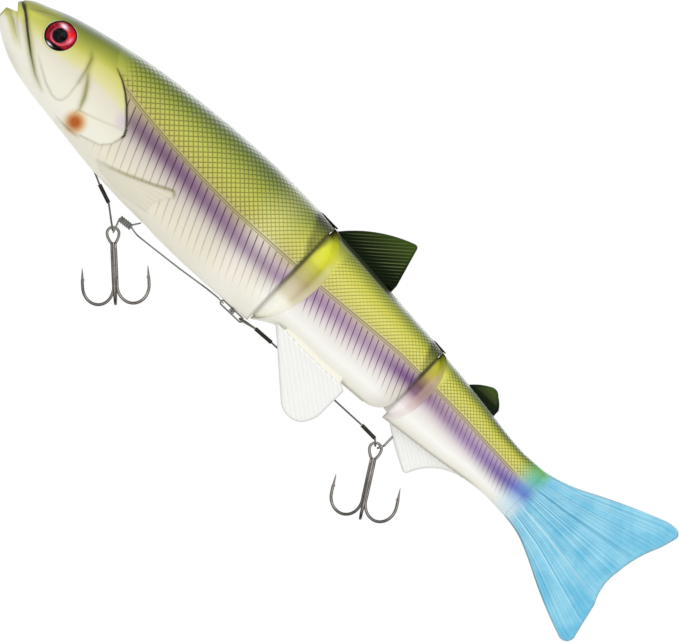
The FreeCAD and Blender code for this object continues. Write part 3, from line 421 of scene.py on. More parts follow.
def side_place(tree):
    """Place in the side view: X and Z in millimetres."""
    parts = parts_of(tree, place_of(tree))
    return [times(tree, parts[axis], 1 / MM) for axis in "XZ"]


def streaks_along(tree, value, scale, detail=2.0):
    """Noise that changes with one value."""
    return add(tree, "TexNoise", {"W": value, "Scale": scale, "Detail": detail}, noise_dimensions="1D")


def marked(tree, name):
    """A number that the mesh carries at each of its points."""
    return add(tree, "Attribute", output=2, attribute_name=name)


def along_curve(tree, value, table, low, high):
    """A curve of value between its first and last place, its heights between low and high."""
    first = table[0][0]
    length = table[-1][0] - first
    made = tree.nodes.new("ShaderNodeFloatCurve")
    points = made.mapping.curves[0].points
    for i, (place, height) in enumerate(table):
        spot = ((place - first) / length, (height - low) / (high - low))
        if i in (0, 1):
            points[i].location = spot
        else:
            points.new(*spot)
    made.mapping.update()
    share = maths(tree, "MULTIPLY_ADD", value, 1 / length, -first / length)
    wire(tree, share, made.inputs["Value"])
    return maths(tree, "MULTIPLY_ADD", made.outputs[0], high - low, low)


def ramp(tree, value, stops):
    """Colours by value, each stop a place and a colour for shade_of."""
    made = tree.nodes.new("ShaderNodeValToRGB")
    elements = made.color_ramp.elements
    while len(elements) < len(stops):
        elements.new(0.5)
    for element, (place, card) in zip(elements, stops):
        element.position = place
        element.color = (*shade_of(card), 1.0)
    wire(tree, value, made.inputs[0])
    return made.outputs[0]


def new_group(name, takes, gives):
    """An empty shader group with named sockets, and its input and output nodes."""
    tree = bpy.data.node_groups.new(name, "ShaderNodeTree")
    for label, kind, value in takes:
        socket = tree.interface.new_socket(name=label, in_out="INPUT", socket_type="NodeSocket" + kind)
        socket.default_value = value
    for label, kind in gives:
        tree.interface.new_socket(name=label, in_out="OUTPUT", socket_type="NodeSocket" + kind)
    return tree, tree.nodes.new("NodeGroupInput"), tree.nodes.new("NodeGroupOutput")


def use_group(tree, name, **values):
    """The outputs of a group placed in a tree, with its inputs filled."""
    made = tree.nodes.new("ShaderNodeGroup")
    made.node_tree = bpy.data.node_groups[name]
    for key, value in values.items():
        wire(tree, value, made.inputs[key.replace("_", " ")])
    return made.outputs


def finish_of(name, roughness=0.4, metallic=0.0, coat=0.0, coat_roughness=0.1, ior=1.45):
    """A new material, its tree and its shader."""
    made = bpy.data.materials.new(name)
    made.use_nodes = True
    shader = made.node_tree.nodes["Principled BSDF"]
    shader.inputs["Roughness"].default_value = roughness
    shader.inputs["Metallic"].default_value = metallic
    shader.inputs["Coat Weight"].default_value = coat
    shader.inputs["Coat Roughness"].default_value = coat_roughness
    shader.inputs["IOR"].default_value = ior
    return made, made.node_tree, shader


def bump(tree, shader, height, reach, strength=1.0):
    """Height in shares of reach, which is in metres, into the shader's normal."""
    out = add(tree, "Bump", {"Height": height, "Distance": reach, "Strength": strength})
    wire(tree, out, shader.inputs["Normal"])


def grained(tree, shader, fineness, reach, **stretch):
    """Grain into the shader's normal, and the outputs of the grain."""
    grain = use_group(tree, "Surface grain", Fineness=fineness, **stretch)
    bump(tree, shader, grain["Height"], reach)
    return grain


def rubbed_finish(name, fineness, reach, fresh, rubbed, **finish):
    """A grained material of two shades: fresh, and where it is rubbed."""
    made, tree, shader = finish_of(name, **finish)
    grain = grained(tree, shader, fineness, reach)
    wire(tree, mix(tree, grain["Rubbed"], fresh, rubbed), shader.inputs["Base Color"])
    return made


def dress(node, material):
    """Gives a node of the frame its finish."""
    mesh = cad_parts[node].data
    if not mesh.materials:
        mesh.materials.append(material)
    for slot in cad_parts[node].material_slots:
        slot.material = material


# -------- shared effects
def make_groups():
    """The groups that several materials share. The body's paint uses the tail root's."""
    make_root_group()
    make_paint_group()
    make_lattice_group()
    make_ray_group()
    make_grain_group()


def make_paint_group():
    """Colours from belly to back, where the boundary follows the lateral line."""
    tree, start, end = new_group("Body paint", [("Head", "Float", 0.0)], [("Color", "Color")])
    on_head = start.outputs["Head"]
    x, z = side_place(tree)
    line = along_curve(tree, x, LATERAL, -6.0, 10.0)
    share = up_the_flank(tree, x, z, line)
    front = front_flank_paint(tree, x, share)
    flank = mix(tree, spread(tree, x, 100.0, 116.0), front, ramp(tree, share, MID_PAINT))
    corner = times(tree, spread(tree, x, 152.0, 160.0), spread(tree, x, 161.0, 160.6),
                   spread(tree, share, 0.42, 0.3, 0.0, 0.6))
    flank = mix(tree, corner, flank, tint(212, 202, 190))
    head = ramp(tree, share, HEAD_PAINT)
    nose = times(tree, spread(tree, x, 16.0, 6.0, 0.0, 0.45), spread(tree, share, 0.4, 0.6))
    head = mix(tree, nose, head, tint(206, 208, 112))
    paint = mix(tree, on_head, flank, head)
    band = violet_band(tree, x, z, line)
    paint = mix(tree, times(tree, band, rest_of(tree, on_head)), paint,
                ramp(tree, maths(tree, "MULTIPLY_ADD", x, 1 / VIOLET_RUN, -VIOLET_START / VIOLET_RUN),
                     VIOLET_PAINT))
    root = use_group(tree, "Tail root paint", Height=z)["Color"]
    paint = mix(tree, spread(tree, x, 198.0, 207.0), paint, root)
    wire(tree, paint, end.inputs["Color"])


def up_the_flank(tree, x, z, line):
    """0 along the belly, 0.5 on the lateral line and 1 along the back, wandering a little."""
    rims = (FRONT_PIVOT, REAR_PIVOT)
    backs = [(s[0], s[1]) for s in STATIONS.values() if s[0] not in rims]
    bellies = [(s[0], s[2]) for s in STATIONS.values() if s[0] not in rims]
    top = along_curve(tree, x, backs, -5.0, 22.0)
    bottom = along_curve(tree, x, bellies, -22.0, 0.0)
    over = maths(tree, "SUBTRACT", z, line)
    above = maths(tree, "DIVIDE", over, maths(tree, "SUBTRACT", top, line))
    below = maths(tree, "DIVIDE", over, maths(tree, "SUBTRACT", line, bottom))
    upper = maths(tree, "MULTIPLY_ADD", maths(tree, "MAXIMUM", above, 0.0), 0.5, 0.5)
    share = maths(tree, "MULTIPLY_ADD", maths(tree, "MINIMUM", below, 0.0), 0.5, upper)
    wander = add(tree, "TexNoise", {"Vector": place_of(tree), "Scale": 90.0, "Detail": 2.0})
    return maths(tree, "MULTIPLY_ADD", maths(tree, "SUBTRACT", wander, 0.5), 0.03, share)


def front_flank_paint(tree, x, share):
    """Paint of the front section: greener behind the head, and a light band ahead of the rim."""
    front = ramp(tree, share, FRONT_PAINT)
    near = times(tree, spread(tree, x, 64.0, 40.0, 0.0, 0.3), spread(tree, share, 0.5, 0.65))
    front = mix(tree, near, front, tint(124, 136, 36))
    from_light = maths(tree, "ABSOLUTE", maths(tree, "SUBTRACT", x, 99.0))
    light = times(tree, spread(tree, from_light, 11.0, 0.0, 0.0, 0.5),
                  spread(tree, share, 0.9, 0.5, 0.4, 1.0))
    bright = mix(tree, spread(tree, share, 0.44, 0.56), tint(252, 247, 240), tint(238, 236, 158))
    return mix(tree, light, front, bright)


def violet_band(tree, x, z, line):
    """How strong the violet is: softly edged, and ending at the lateral line."""
    centre = along_curve(tree, x, VIOLET, -6.0, 6.0)
    off = maths(tree, "DIVIDE", maths(tree, "SUBTRACT", z, centre),
                spread(tree, x, 92.0, 108.0, 3.4, 2.9))
    amount = along_curve(tree, x, VIOLET_STRENGTH, 0.0, 1.0)
    above_line = maths(tree, "GREATER_THAN", z, maths(tree, "ADD", line, -0.3))
    return times(tree, bell(tree, square(tree, off)), amount, rest_of(tree, above_line))


def make_root_group():
    """Green, blue and pale paint by height, where the body's paint runs into the tail."""
    tree, start, end = new_group("Tail root paint", [("Height", "Float", 0.0)], [("Color", "Color")])
    share = maths(tree, "MULTIPLY_ADD", start.outputs["Height"], 1 / ROOT_RUN, 0.5)
    wire(tree, ramp(tree, share, ROOT_PAINT), end.inputs["Color"])


def make_lattice_group():
    """Diamond scales: dark lines both ways, and a dome in each cell."""
    takes = [("Rise", "Float", 0.0), ("Fall", "Float", 0.0), ("Fall weight", "Float", 1.0)]
    tree, start, end = new_group("Scale lattice", takes, [("Lines", "Float"), ("Domes", "Float")])
    lines = []
    domes = []
    for way, weight in (("Rise", 1.0), ("Fall", start.outputs["Fall weight"])):
        wave = waves(tree, start.outputs[way])
        lines.append(times(tree, rest_of(tree, spread(tree, wave, 0.06, 0.38)), weight))
        dome = maths(tree, "SQRT", maths(tree, "MAXIMUM", wave, NOT_ZERO))
        domes.append(maths(tree, "MAXIMUM", dome, rest_of(tree, weight)))
    wire(tree, maths(tree, "MAXIMUM", *lines), end.inputs["Lines"])
    wire(tree, times(tree, *domes), end.inputs["Domes"])


def make_ray_group():
    """Moulded rays across a fin: a thin dark line and a round ridge between two lines."""
    tree, start, end = new_group("Fin rays", [("Phase", "Float", 0.0), ("Width", "Float", 0.25)],
                                 [("Lines", "Float"), ("Ridges", "Float")])
    phase = start.outputs["Phase"]
    wave = waves(tree, phase)
    line = rest_of(tree, spread(tree, wave, 0.0, start.outputs["Width"]))
    fine = times(tree, maths(tree, "PINGPONG", times(tree, phase, 3.0), 0.5), 0.3)
    ridge = maths(tree, "ADD", maths(tree, "SQRT", maths(tree, "MAXIMUM", wave, NOT_ZERO)), fine)
    wire(tree, line, end.inputs["Lines"])
    wire(tree, ridge, end.inputs["Ridges"])


def make_grain_group():
    """Fine unevenness of a moulded or drawn surface, and where it is rubbed duller."""
    takes = [("Fineness", "Float", 1500.0), ("Stretch", "Vector", (1.0, 1.0, 1.0))]
    tree, start, end = new_group("Surface grain", takes, [("Height", "Float"), ("Rubbed", "Float")])
    place = add(tree, "VectorMath", {0: place_of(tree), 1: start.outputs["Stretch"]},
                operation="MULTIPLY")
    fine = add(tree, "TexNoise", {"Vector": place, "Scale": start.outputs["Fineness"], "Detail": 3.0})
    broad = add(tree, "TexNoise", {"Vector": place, "Scale": 160.0, "Detail": 4.0, "Roughness": 0.65})
    wire(tree, fine, end.inputs["Height"])
    wire(tree, spread(tree, broad, 0.42, 0.68), end.inputs["Rubbed"])


# -------- meshes
def piece(name, points, faces, marks=None):
    """A smooth mesh from points in millimetres, each of marks a number at every point."""
    mesh = bpy.data.meshes.new(name)
    mesh.from_pydata((np.asarray(points, float) * MM).tolist(), [], [list(map(int, f)) for f in faces])
    for label, values in (marks or {}).items():
        layer = mesh.attributes.new(label, "FLOAT", "POINT")
        layer.data.foreach_set("value", np.asarray(values, np.float32).ravel())
    mesh.validate()
    mesh.shade_smooth()
    made = bpy.data.objects.new(name, mesh)
    bpy.context.scene.collection.objects.link(made)
    return made


# About half the width, half the depth and half the way round of a section, for its rows of points.
TYPICAL_WIDTH = 12.0
TYPICAL_DEPTH = 18.0
TYPICAL_GIRTH = 44.0
GIRTH_SAMPLES = 2001


def girth_turns(count):
    """Angles round the girth that are evenly spaced along an oval."""
    fine = np.linspace(0, 2 * math.pi, GIRTH_SAMPLES)
    steps = np.hypot(TYPICAL_WIDTH * np.sin(fine[:-1]), TYPICAL_DEPTH * np.cos(fine[:-1]))
    run = np.concatenate([[0], np.cumsum(steps)])
    return np.interp(np.arange(count) / count * run[-1], run, fine)


def skin_turns():
    """Angles of the points in each row of a skin, about a mesh step apart."""
    return girth_turns(2 * int(TYPICAL_GIRTH / millimetres(sizes().mesh_step)))


def outward(points):
    """Unit normals of a grid of points that closes round its second axis."""
    along = np.gradient(points, axis=0)
    around = (np.roll(points, -1, axis=1) - np.roll(points, 1, axis=1)) / 2
    normals = np.cross(along, around)
    return normals / np.linalg.norm(normals, axis=-1, keepdims=True)


def up_from_line(points):
    """Length over the surface from the lateral line, counted up to the back."""
    x, y, z = np.moveaxis(points, -1, 0)
    steps = np.linalg.norm(np.roll(points, -1, axis=1) - points, axis=-1)
    run = np.concatenate([np.zeros((len(points), 1)), np.cumsum(steps, axis=1)[:, :-1]], axis=1)
    girth = np.zeros(x.shape)
    top = int(np.argmax(z[len(z) // 2]))
    for row in range(len(points)):
        from_top = np.abs(run[row] - run[row, top])
        total = run[row, -1] + steps[row, -1]
        from_top = np.minimum(from_top, total - from_top)
        line = level(x[row, 0], LATERAL)
        left = np.nonzero(y[row] < 0)[0]
        order = left[np.argsort(z[row][left])]
        girth[row] = np.interp(line, z[row][order], from_top[order]) - from_top
    return girth


def skin_faces(rows, count):
    """Quads of a grid that closes round its second axis."""
    i, j = np.meshgrid(np.arange(rows - 1), np.arange(count), indexing="ij")
    after = (j + 1) % count
    return np.stack([i * count + j, (i + 1) * count + j, (i + 1) * count + after, i * count + after],
                    axis=-1).reshape(-1, 4)


def lay_skin(section, starts, ends, crowding, last_fold, relief):
    """A painted skin over one section of the shells, folded in at both of its rims."""
    rows = int((ends.max() - starts.min()) / millimetres(sizes().mesh_step))
    share = (np.linspace(0, 1, rows) ** crowding)[:, None]
    x = starts[None, :] + (ends - starts)[None, :] * share
    base = section.surface(x, skin_turns()[None, :])
    normals = outward(base)
    girth = up_from_line(base)
    height, marks = relief(base, girth)
    points = base + normals * (millimetres(sizes().skin_proud) + height)[..., None]
    sink = normals * np.array([0.0, 1.0, 1.0])
    points = np.concatenate([points[:1] - FOLD * sink[:1], points, points[-1:] - last_fold * sink[-1:]])
    marks["girth"] = girth
    marks = {label: np.concatenate([values[:1], values, values[-1:]]) for label, values in marks.items()}
    return points, marks


def limits(section, pivot, turns):
    """Front edge of a section's skin, along its flared collar."""
    start = np.full(len(turns), pivot + COLLAR_GAP)
    for _ in range(SETTLING_ROUNDS):
        half = section.oval(start)[0]
        start = pivot + COLLAR_GAP + half * np.abs(np.cos(turns)) * COLLAR_FLARE
    return start


# -------- relief of the three skins
# Creases of the head: each corner's place, and how dark the painted shade lies there.
JAW = ((-0.8, 3, 1), (2, 1.6, 1), (7, -2.4, 0.95), (12, -6.3, 0.55), (17, -9.7, 0.35), (22, -11.8, 0.1))
UPPER_LIP = ((-1, 3.4, 0.9), (1, 2.9, 0.7), (4, 0.9, 0.25))
NOSTRIL = ((2.5, 3.2, 0.35), (5, 4.6, 0.6), (9, 6.4, 0.4), (11, 6.9, 0))
LOWER_LIP = ((-1.4, -1.5, 0.15), (1, -2.6, 0.5), (4, -4.6, 0.35), (8, -6.6, 0.1))
JAW_LINE = ((0.5, -0.4, 0.3), (4, -3.6, 0.25), (9, -7.2, 0.1))
CHEEK = (
    (25, 6, 0.35), (26, 5, 0.6), (27, 2, 0.6), (28, -3, 0.4), (28.5, -7.5, 0.28), (28, -9.8, 0.28),
    (26.5, -10.7, 0.3), (24.5, -10.6, 0.35), (21, -9.3, 0.4), (17, -7, 0.35), (13.5, -4.8, 0.1),
)
PLATE = (
    (28, 1.2, 0.3), (30, -1, 0.55), (32, -4, 0.6), (33, -6.5, 0.6), (33.7, -8.2, 0.45), (33.3, -9.8, 0.2),
)
PLATE_FOOT = ((33.8, -8.4, 0.35), (38, -7.2, 0.25), (42, -5.8, 0.2), (47.6, -3.6, 0.15))
GILL = (
    (33.5, 8, 0.45), (37, 6.5, 0.85), (40, 4.6, 1), (43, 2.1, 1), (46, -1, 1), (47.8, -3.1, 1),
    (48.6, -4.8, 1), (48.4, -6.2, 0.35), (47.5, -9, 0.16), (45, -11.6, 0.16), (39, -13.4, 0.2),
)
THROAT_CREASE = ((30, -14.3, 0.2), (35, -14.6, 0.6), (39, -14.4, 0.2))
JAW_FRONT = ((-0.9, 3.5, 0), (0.4, 2.9, 1), (3.5, 0.6, 1), (6.5, -1.6, 0.5), (8.5, -3.2, 0))
OLIVE_BANDS = (
    ((4, -0.4, 0.5), (8, -3.2, 0.85), (12, -6.2, 0.75), (16, -9, 0.5), (20, -11.2, 0.2), (23, -12.2, 0)),
    ((1.5, 3.2, 0.3), (4, 4.8, 0.7), (8, 6, 0.7), (10, 6.6, 0.2)),
    ((-3.2, -1.7, 0.8), (-1.6, -1.2, 0.7), (-0.2, -1.9, 0.4), (2.5, -3.4, 0.3), (6, -5.6, 0.1)),
    ((24.6, 6.4, 0.5), (26.2, 4.6, 0.7), (27.6, 1.6, 0.6), (28.2, -2.4, 0.3)),
    ((28.4, 1, 0.5), (30.4, -1.6, 0.7), (32.4, -5, 0.7), (33.4, -8, 0.3)),
    ((4, -9.6, 0.12), (8, -11, 0.2), (12.5, -12.7, 0.12)),
)
YELLOW_BANDS = (
    ((-2.9, -2.2, 0.8), (-0.4, -2.6, 0.8), (2, -4, 0.7), (5.5, -6.2, 0.4), (8.5, -7.6, 0)),
    ((2.5, 2.4, 0.5), (4.5, 2.6, 0.8), (7, 3.4, 0.6), (8.6, 4.4, 0.2)),
    ((6, -0.6, 0.4), (9, -2.6, 0.4), (12, -4.8, 0.2)),
)
HEAD_CREASES = (JAW, UPPER_LIP, NOSTRIL, LOWER_LIP, JAW_LINE, CHEEK, PLATE, PLATE_FOOT, GILL,
                THROAT_CREASE)
CREASE_WIDTH = 0.36
JAW_FRONT_WIDTH = 0.62
OLIVE_WIDTH = 1.0
YELLOW_WIDTH = 0.75

# Rear edges of the gill cover, of the shoulder over it and of the cheek: a height, and X there.
GILL_EDGE = (
    (-15, 30), (-13.4, 39), (-11.6, 45), (-9, 47.5), (-6.2, 48.4), (-4.8, 48.6), (-3.1, 47.8), (-1, 46),
    (2.1, 43), (4.6, 40), (6.5, 37), (8, 33.5),
)
SHOULDER_EDGE = ((8, 33.5), (11, 31), (14, 29.5), (20, 28))
CHEEK_EDGE = ((-10.7, 26.5), (-9.8, 28), (-7.5, 28.5), (-3, 28), (2, 27), (5, 26), (6, 25))

PECTORAL_LEAD = (
    (47.5, -15.4, 0.2), (52, -14.2, 0.5), (57, -12.5, 0.65), (65, -9.1, 0.7), (69, -7.1, 0.75),
    (70.4, -6.6, 0.8), (71.3, -7.2, 0.7), (71.7, -8.1, 0.3),
)
PECTORAL = (
    (47.5, -15.4), (52, -14.2), (57, -12.5), (65, -9.1), (69, -7.1), (70.4, -6.6), (71.3, -7.2),
    (71.7, -8.1), (70.6, -9.8), (69, -12.6), (68.6, -14.6), (69.6, -16.6), (60, -18.2), (50, -17.4),
)
PECTORAL_ROOT = (44.5, -16.4)
PECTORAL_NEAR = (42, 74)
PECTORAL_RAY = 3.1             # degrees from one ray to the next
LEAD_WIDTH = 0.5

# How far down the flank the slanted grooves reach, from the lateral line, at each place.
FRONT_RIB_REACH = ((46, -22), (60, -22), (80, -22), (98, -20), (112, -17))
MID_RIB_REACH = ((120, -11), (150, -12), (161, -15))
REAR_RIB_REACH = ((166, -7), (190, -8.5), (206, -11))

# How strong the scales' falling lines are, at each place.
FRONT_FALL_WEIGHT = ((0, 1), (92, 1), (106, 0.45), (112, 0.7))
MID_FALL_WEIGHT = ((118, 0.7), (128, 0.25), (146, 0.25), (156, 0.8), (161, 1))

# Darker paint airbrushed ahead of each rim, and painted gap shadow along the rim: where the paint starts,
# and how dark it and the rim are, by height.
FRONT_SHADE_START = ((-9, 111), (0, 110.9), (6, 110.2), (10, 107.9), (14, 106.6), (18, 104))
FRONT_SHADE = ((-18, 0.1), (-9, 0.2), (0, 0.4), (6, 0.6), (10, 0.62), (13.5, 0.42), (15.5, 0.6), (17, 1))
FRONT_RIM_SHADE = ((-18, 0.3), (-6, 0.5), (4, 0.85))
MID_SHADE_START = ((4, 158.8), (8, 157), (13, 155))
MID_SHADE = ((3, 0.2), (8, 0.5), (13, 0.85))
MID_RIM_SHADE = ((-3, 0.3), (1, 0.45), (4, 0.85))
SHADE_RUN = 2.0


def crease_mask(x, z, lines, width):
    """How deep in a crease each point lies, times the crease's own darkness."""
    mask = np.zeros(x.shape)
    for line in lines:
        gap, share = distance(x, z, line)
        corners = np.asarray(line)
        runs = np.hypot(*np.diff(corners[:, :2], axis=0).T)
        places = np.concatenate([[0], np.cumsum(runs)]) / runs.sum()
        dark = np.interp(share, places, corners[:, 2])
        mask = np.maximum(mask, dark * np.exp(-(gap / width) ** 2))
    return mask


# Distance along the lure from one scale to the next, in shares of the scale pitch, and from one
# flank groove to the next.
SCALE_LENGTHS = (
    (28, 2), (45, 2.12), (70, 2.1), (100, 1.7), (112, 1.6), (130, 1.5), (160, 1.45), (207, 1.3),
)
RIB_LENGTHS = ((40, 2.8), (60, 2.65), (90, 2.5), (112, 2.4), (121, 2.15), (160, 2), (166, 1.7), (207, 1.5))
RIB_SLANT = math.tan(math.radians(22.0))
COUNTING_END = 220.0
COUNTING_STEP = 0.1
GROOVE_WIDTH = 0.3


def counted(x, lengths):
    """How many scales or grooves lie ahead of x, where a table gives their lengths."""
    fine = np.linspace(0.0, COUNTING_END, round(COUNTING_END / COUNTING_STEP) + 1)
    run = np.concatenate([[0.0], np.cumsum(COUNTING_STEP / level(fine, lengths))[:-1]])
    return np.interp(x, fine, run)


def scale_relief(x, girth, fall_weight):
    """Dome height of the scales and the two phases that the paint reads."""
    pitch = millimetres(sizes().scale_pitch)
    ahead = counted(x, SCALE_LENGTHS) / pitch
    over = girth / (level(x, SCALE_LENGTHS) * pitch)
    rise = ahead - over
    fall = ahead + over
    domes = np.sqrt(zigzag(rise)) * np.maximum(np.sqrt(zigzag(fall)), 1 - fall_weight)
    return domes, rise, fall


def moulded(x, girth, scaled, ribbed, fall_weight):
    """Height of the scales over the grooves of a skin, and the marks that its paint reads."""
    domes, rise, fall = scale_relief(x, girth, fall_weight)
    rib = counted(x + girth * RIB_SLANT, RIB_LENGTHS)
    raised = scaled * domes * millimetres(sizes().scale_height)
    sunk = ribbed * (1 - ease(zigzag(rib), 0.0, GROOVE_WIDTH)) * millimetres(sizes().rib_depth)
    marks = {"scaled": scaled, "ribbed": ribbed, "rib": rib, "rise": rise, "fall": fall,
             "fall_weight": fall_weight}
    for label in ("crease", "olive", "yellow", "cover", "fin", "fin_ray", "lead", "smoke", "foot"):
        marks[label] = np.zeros(x.shape)
    return raised - sunk, marks


def front_relief(points, girth):
    """Head, gill covers, scales, grooves and pectoral fin of the front section."""
    x, y, z = np.moveaxis(points, -1, 0)
    shoulder = level(z, SHOULDER_EDGE)
    on_shoulder = z > SHOULDER_EDGE[0][0]
    edge = np.where(on_shoulder, shoulder, level(z, GILL_EDGE))
    cover = 1 - ease(x, edge - 0.25, edge + 0.25)
    raised = cover * np.exp(-np.clip(edge - x, 0, None) / 8.0)
    raised = raised * (1 - ease(z, 5.5, 9.0)) * ease(z, -15.0, -12.0)
    cheek_edge = level(z, CHEEK_EDGE)
    cheek = 1 - ease(x, cheek_edge - 0.3, cheek_edge + 0.3)
    cheek = cheek * ease(z, -11.0, -8.5) * (1 - ease(z, 3.0, 7.0))
    cheek = cheek * np.exp(-np.clip(cheek_edge - x, 0, None) / 5.0)
    # painted shade along the creases of the head, darkest along the gill cover's edge and the jaw
    crease = np.maximum(crease_mask(x, z, HEAD_CREASES, CREASE_WIDTH),
                        crease_mask(x, z, (JAW_FRONT,), JAW_FRONT_WIDTH))
    deepest = np.clip(1.6 * crease_mask(x, z, (GILL, JAW), CREASE_WIDTH), 0, 1)
    around_fin = (x > PECTORAL_NEAR[0]) & (x < PECTORAL_NEAR[1])
    gap, _ = distance(x, z, PECTORAL + PECTORAL[:1])
    fin = np.where(around_fin & inside(x, z, PECTORAL), ease(gap, 0.0, 0.6), 0.0)
    lead = np.where(around_fin, crease_mask(x, z, (PECTORAL_LEAD,), LEAD_WIDTH), 0.0)
    fin_ray = np.degrees(np.arctan2(z - PECTORAL_ROOT[1], x - PECTORAL_ROOT[0])) / PECTORAL_RAY
    scaled = (1 - cover) * ease(girth, 0.35, 0.8) * ease(x, edge + 0.3, edge + 2.5)
    scaled = scaled * np.where(on_shoulder, ease(x, shoulder + 1.0, shoulder + 9.0), 1.0)
    reach = level(x, FRONT_RIB_REACH)
    ribbed = (1 - cover) * (1 - ease(girth, -1.2, -0.7)) * ease(girth, reach, reach + 8.0) * (1 - fin)
    ribbed = ribbed * np.interp(x, (0, 100, 112), (1.0, 1.0, 0.7))
    moulding, marks = moulded(x, girth, scaled, ribbed, level(x, FRONT_FALL_WEIGHT))
    line = ((x > edge + 1.0) & (x < FRONT_PIVOT - 0.5)) * (1 - ease(np.abs(girth + 0.3), 0.2, 0.55))
    height = 0.42 * raised + 0.2 * cheek + 0.1 * (1 - ease(x, 44.0, 56.0))
    height = height - 0.3 * crease - 0.1 * line + moulding
    height = height + fin * (0.26 + 0.06 * zigzag(fin_ray)) + 0.22 * lead
    # the belly lies lower where the line's knot swings past it
    dip = ease(x, 62.0, 66.0) * (1 - ease(x, 72.0, 75.0)) * (1 - ease(np.abs(y), 2.4, 4.0)) * (z < 0)
    height = height * (1 - dip) - (millimetres(sizes().skin_proud) - 0.02) * dip
    # airbrushed darker paint ahead of the rim, and painted shadow of the gap along the rim itself
    start = level(z, FRONT_SHADE_START)
    smoke = np.maximum(ease(x, start, start + SHADE_RUN) * level(z, FRONT_SHADE),
                       ease(x, 111.3, 111.7) * level(z, FRONT_RIM_SHADE))
    marks.update({"crease": np.maximum(crease, deepest), "cover": cover, "fin": fin, "fin_ray": fin_ray,
                  "lead": lead, "smoke": smoke, "line": (x > edge + 1.0) * 1.0,
                  "olive": crease_mask(x, z, OLIVE_BANDS, OLIVE_WIDTH),
                  "yellow": crease_mask(x, z, YELLOW_BANDS, YELLOW_WIDTH)})
    return height, marks


# The moulded gape: its corner, and the slopes of the upper and the lower jaw.
GAPE_CORNER = 0.35
UPPER_JAW_SLOPE = math.tan(math.radians(48.0))
LOWER_JAW_SLOPE = math.tan(math.radians(19.2))
TUBE_ROOM = 1.5
TUBE_MOUTH = 3.0
TUBE_BORE = 1.2
TUBE_CLEARING = 4.0


def tube_way():
    """The way that the line tube runs, from the mouth to the throat."""
    _, middle, _, drop = FRONT.oval(THROAT)
    lean = math.atan2(drop - middle, THROAT)
    return np.array([math.cos(lean), 0, -math.sin(lean)])


def shape_mouth(points):
    """Opens the jaws along the moulded gape, and clears the way to the line tube."""
    x, y, z = np.moveaxis(points, -1, 0)
    x = np.maximum(x, GAPE_CORNER + np.where(z > 0, -z / UPPER_JAW_SLOPE, z / LOWER_JAW_SLOPE))
    points = np.stack([x, y, z], axis=-1)
    way = tube_way()
    along = points @ way
    off = points - along[..., None] * way
    radius = np.linalg.norm(off, axis=-1)
    close = (radius < TUBE_ROOM) & (along < TUBE_MOUTH)
    scale = np.where(close, TUBE_ROOM / np.maximum(radius, 1e-6), 1.0)
    return off * scale[..., None] + along[..., None] * way


EYE_CENTRE = (14.6, 3.7)
EYE_RADIUS = 4.75
EYE_YAW = math.radians(10.0)
EYE_TILT = math.radians(14.0)


def eye_seat():
    """Seat of the left eye, the way that it faces, and two axes across it."""
    facing = np.array([-math.sin(EYE_YAW), -math.cos(EYE_YAW), math.tan(EYE_TILT)])
    facing = facing / np.linalg.norm(facing)
    flank = float(FRONT.side(np.array(EYE_CENTRE[0]), np.array(EYE_CENTRE[1])))
    surface = np.array([EYE_CENTRE[0], -flank, EYE_CENTRE[1]])
    up = np.array([0.0, 0.0, 1.0]) - facing * facing[2]
    up = up / np.linalg.norm(up)
    return surface, facing, np.cross(up, facing), up


def mid_relief(points, girth):
    """Scales and grooves of the middle section."""
    x, _, z = np.moveaxis(points, -1, 0)
    start = limits(MID, FRONT_PIVOT, np.zeros(1))[0]
    scaled = ease(girth, 0.3, 0.8) * ease(x, start - 1.5, start + 1.0)
    reach = level(x, MID_RIB_REACH)
    ribbed = (1 - ease(girth, -1.4, -0.9)) * ease(girth, reach, reach + 4.0)
    ribbed = ribbed * ease(x, start - 0.6, start + 0.2)
    moulding, marks = moulded(x, girth, scaled, ribbed, level(x, MID_FALL_WEIGHT))
    line = (x > start) * (1 - ease(np.abs(girth + 0.15), 0.15, 0.45))
    _, middle, crown_rise, foot_drop = MID.oval(x)
    # airbrushed darker paint ahead of the rear rim, painted shadow of the gap along the rim, and the dark
    # strip along the crown
    begin = level(z, MID_SHADE_START)
    smoke = np.maximum(ease(x, begin, begin + SHADE_RUN) * level(z, MID_SHADE),
                       ease(x, 159.6, 160.0) * level(z, MID_RIM_SHADE))
    crown = ease(z - middle - crown_rise, -1.5, -0.9) * ease(x, 112.5, 114.0) * (1 - ease(x, 137.0, 142.0))
    foot = np.exp(-((z - middle + foot_drop - 0.35) / 0.4) ** 2) * ease(x, 140.0, 146.0)
    marks.update({"smoke": np.maximum(smoke, 0.95 * crown), "foot": foot, "line": (x > start) * 1.0})
    return moulding - 0.08 * line, marks


def rear_relief(points, girth):
    """Scales and grooves of the rear section, fading out towards the tail."""
    x, _, z = np.moveaxis(points, -1, 0)
    start = limits(REAR, REAR_PIVOT, np.zeros(1))[0]
    body = 1 - ease(x, 200.0, 206.0)
    scaled = ease(girth, 0.3, 0.8) * ease(x, start - 1.0, start + 1.0) * body
    reach = level(x, REAR_RIB_REACH)
    ribbed = (1 - ease(girth, -1.2, -0.8)) * ease(girth, reach, reach + 5.0)
    ribbed = ribbed * ease(x, start - 0.6, start + 0.2) * body
    moulding, marks = moulded(x, girth, scaled, ribbed, np.ones(x.shape))
    lined = (x > start) * (1 - ease(x, 198.0, 204.0))
    line = lined * (1 - ease(np.abs(girth + 0.15), 0.15, 0.45))
    _, middle, _, foot_drop = REAR.oval(x)
    # airbrushed darker paint on the top just behind the joint
    smoke = (1 - ease(x, 161.0, 164.5)) * ease(z, 8.0, 12.5) * 0.8
    foot = np.exp(-((z - middle + foot_drop - 0.3) / 0.4) ** 2) * (1 - ease(x, 190.0, 198.0))
    marks.update({"ribbed": ribbed * 0.8, "smoke": smoke, "foot": foot, "line": lined})
    return moulding - 0.08 * line, marks


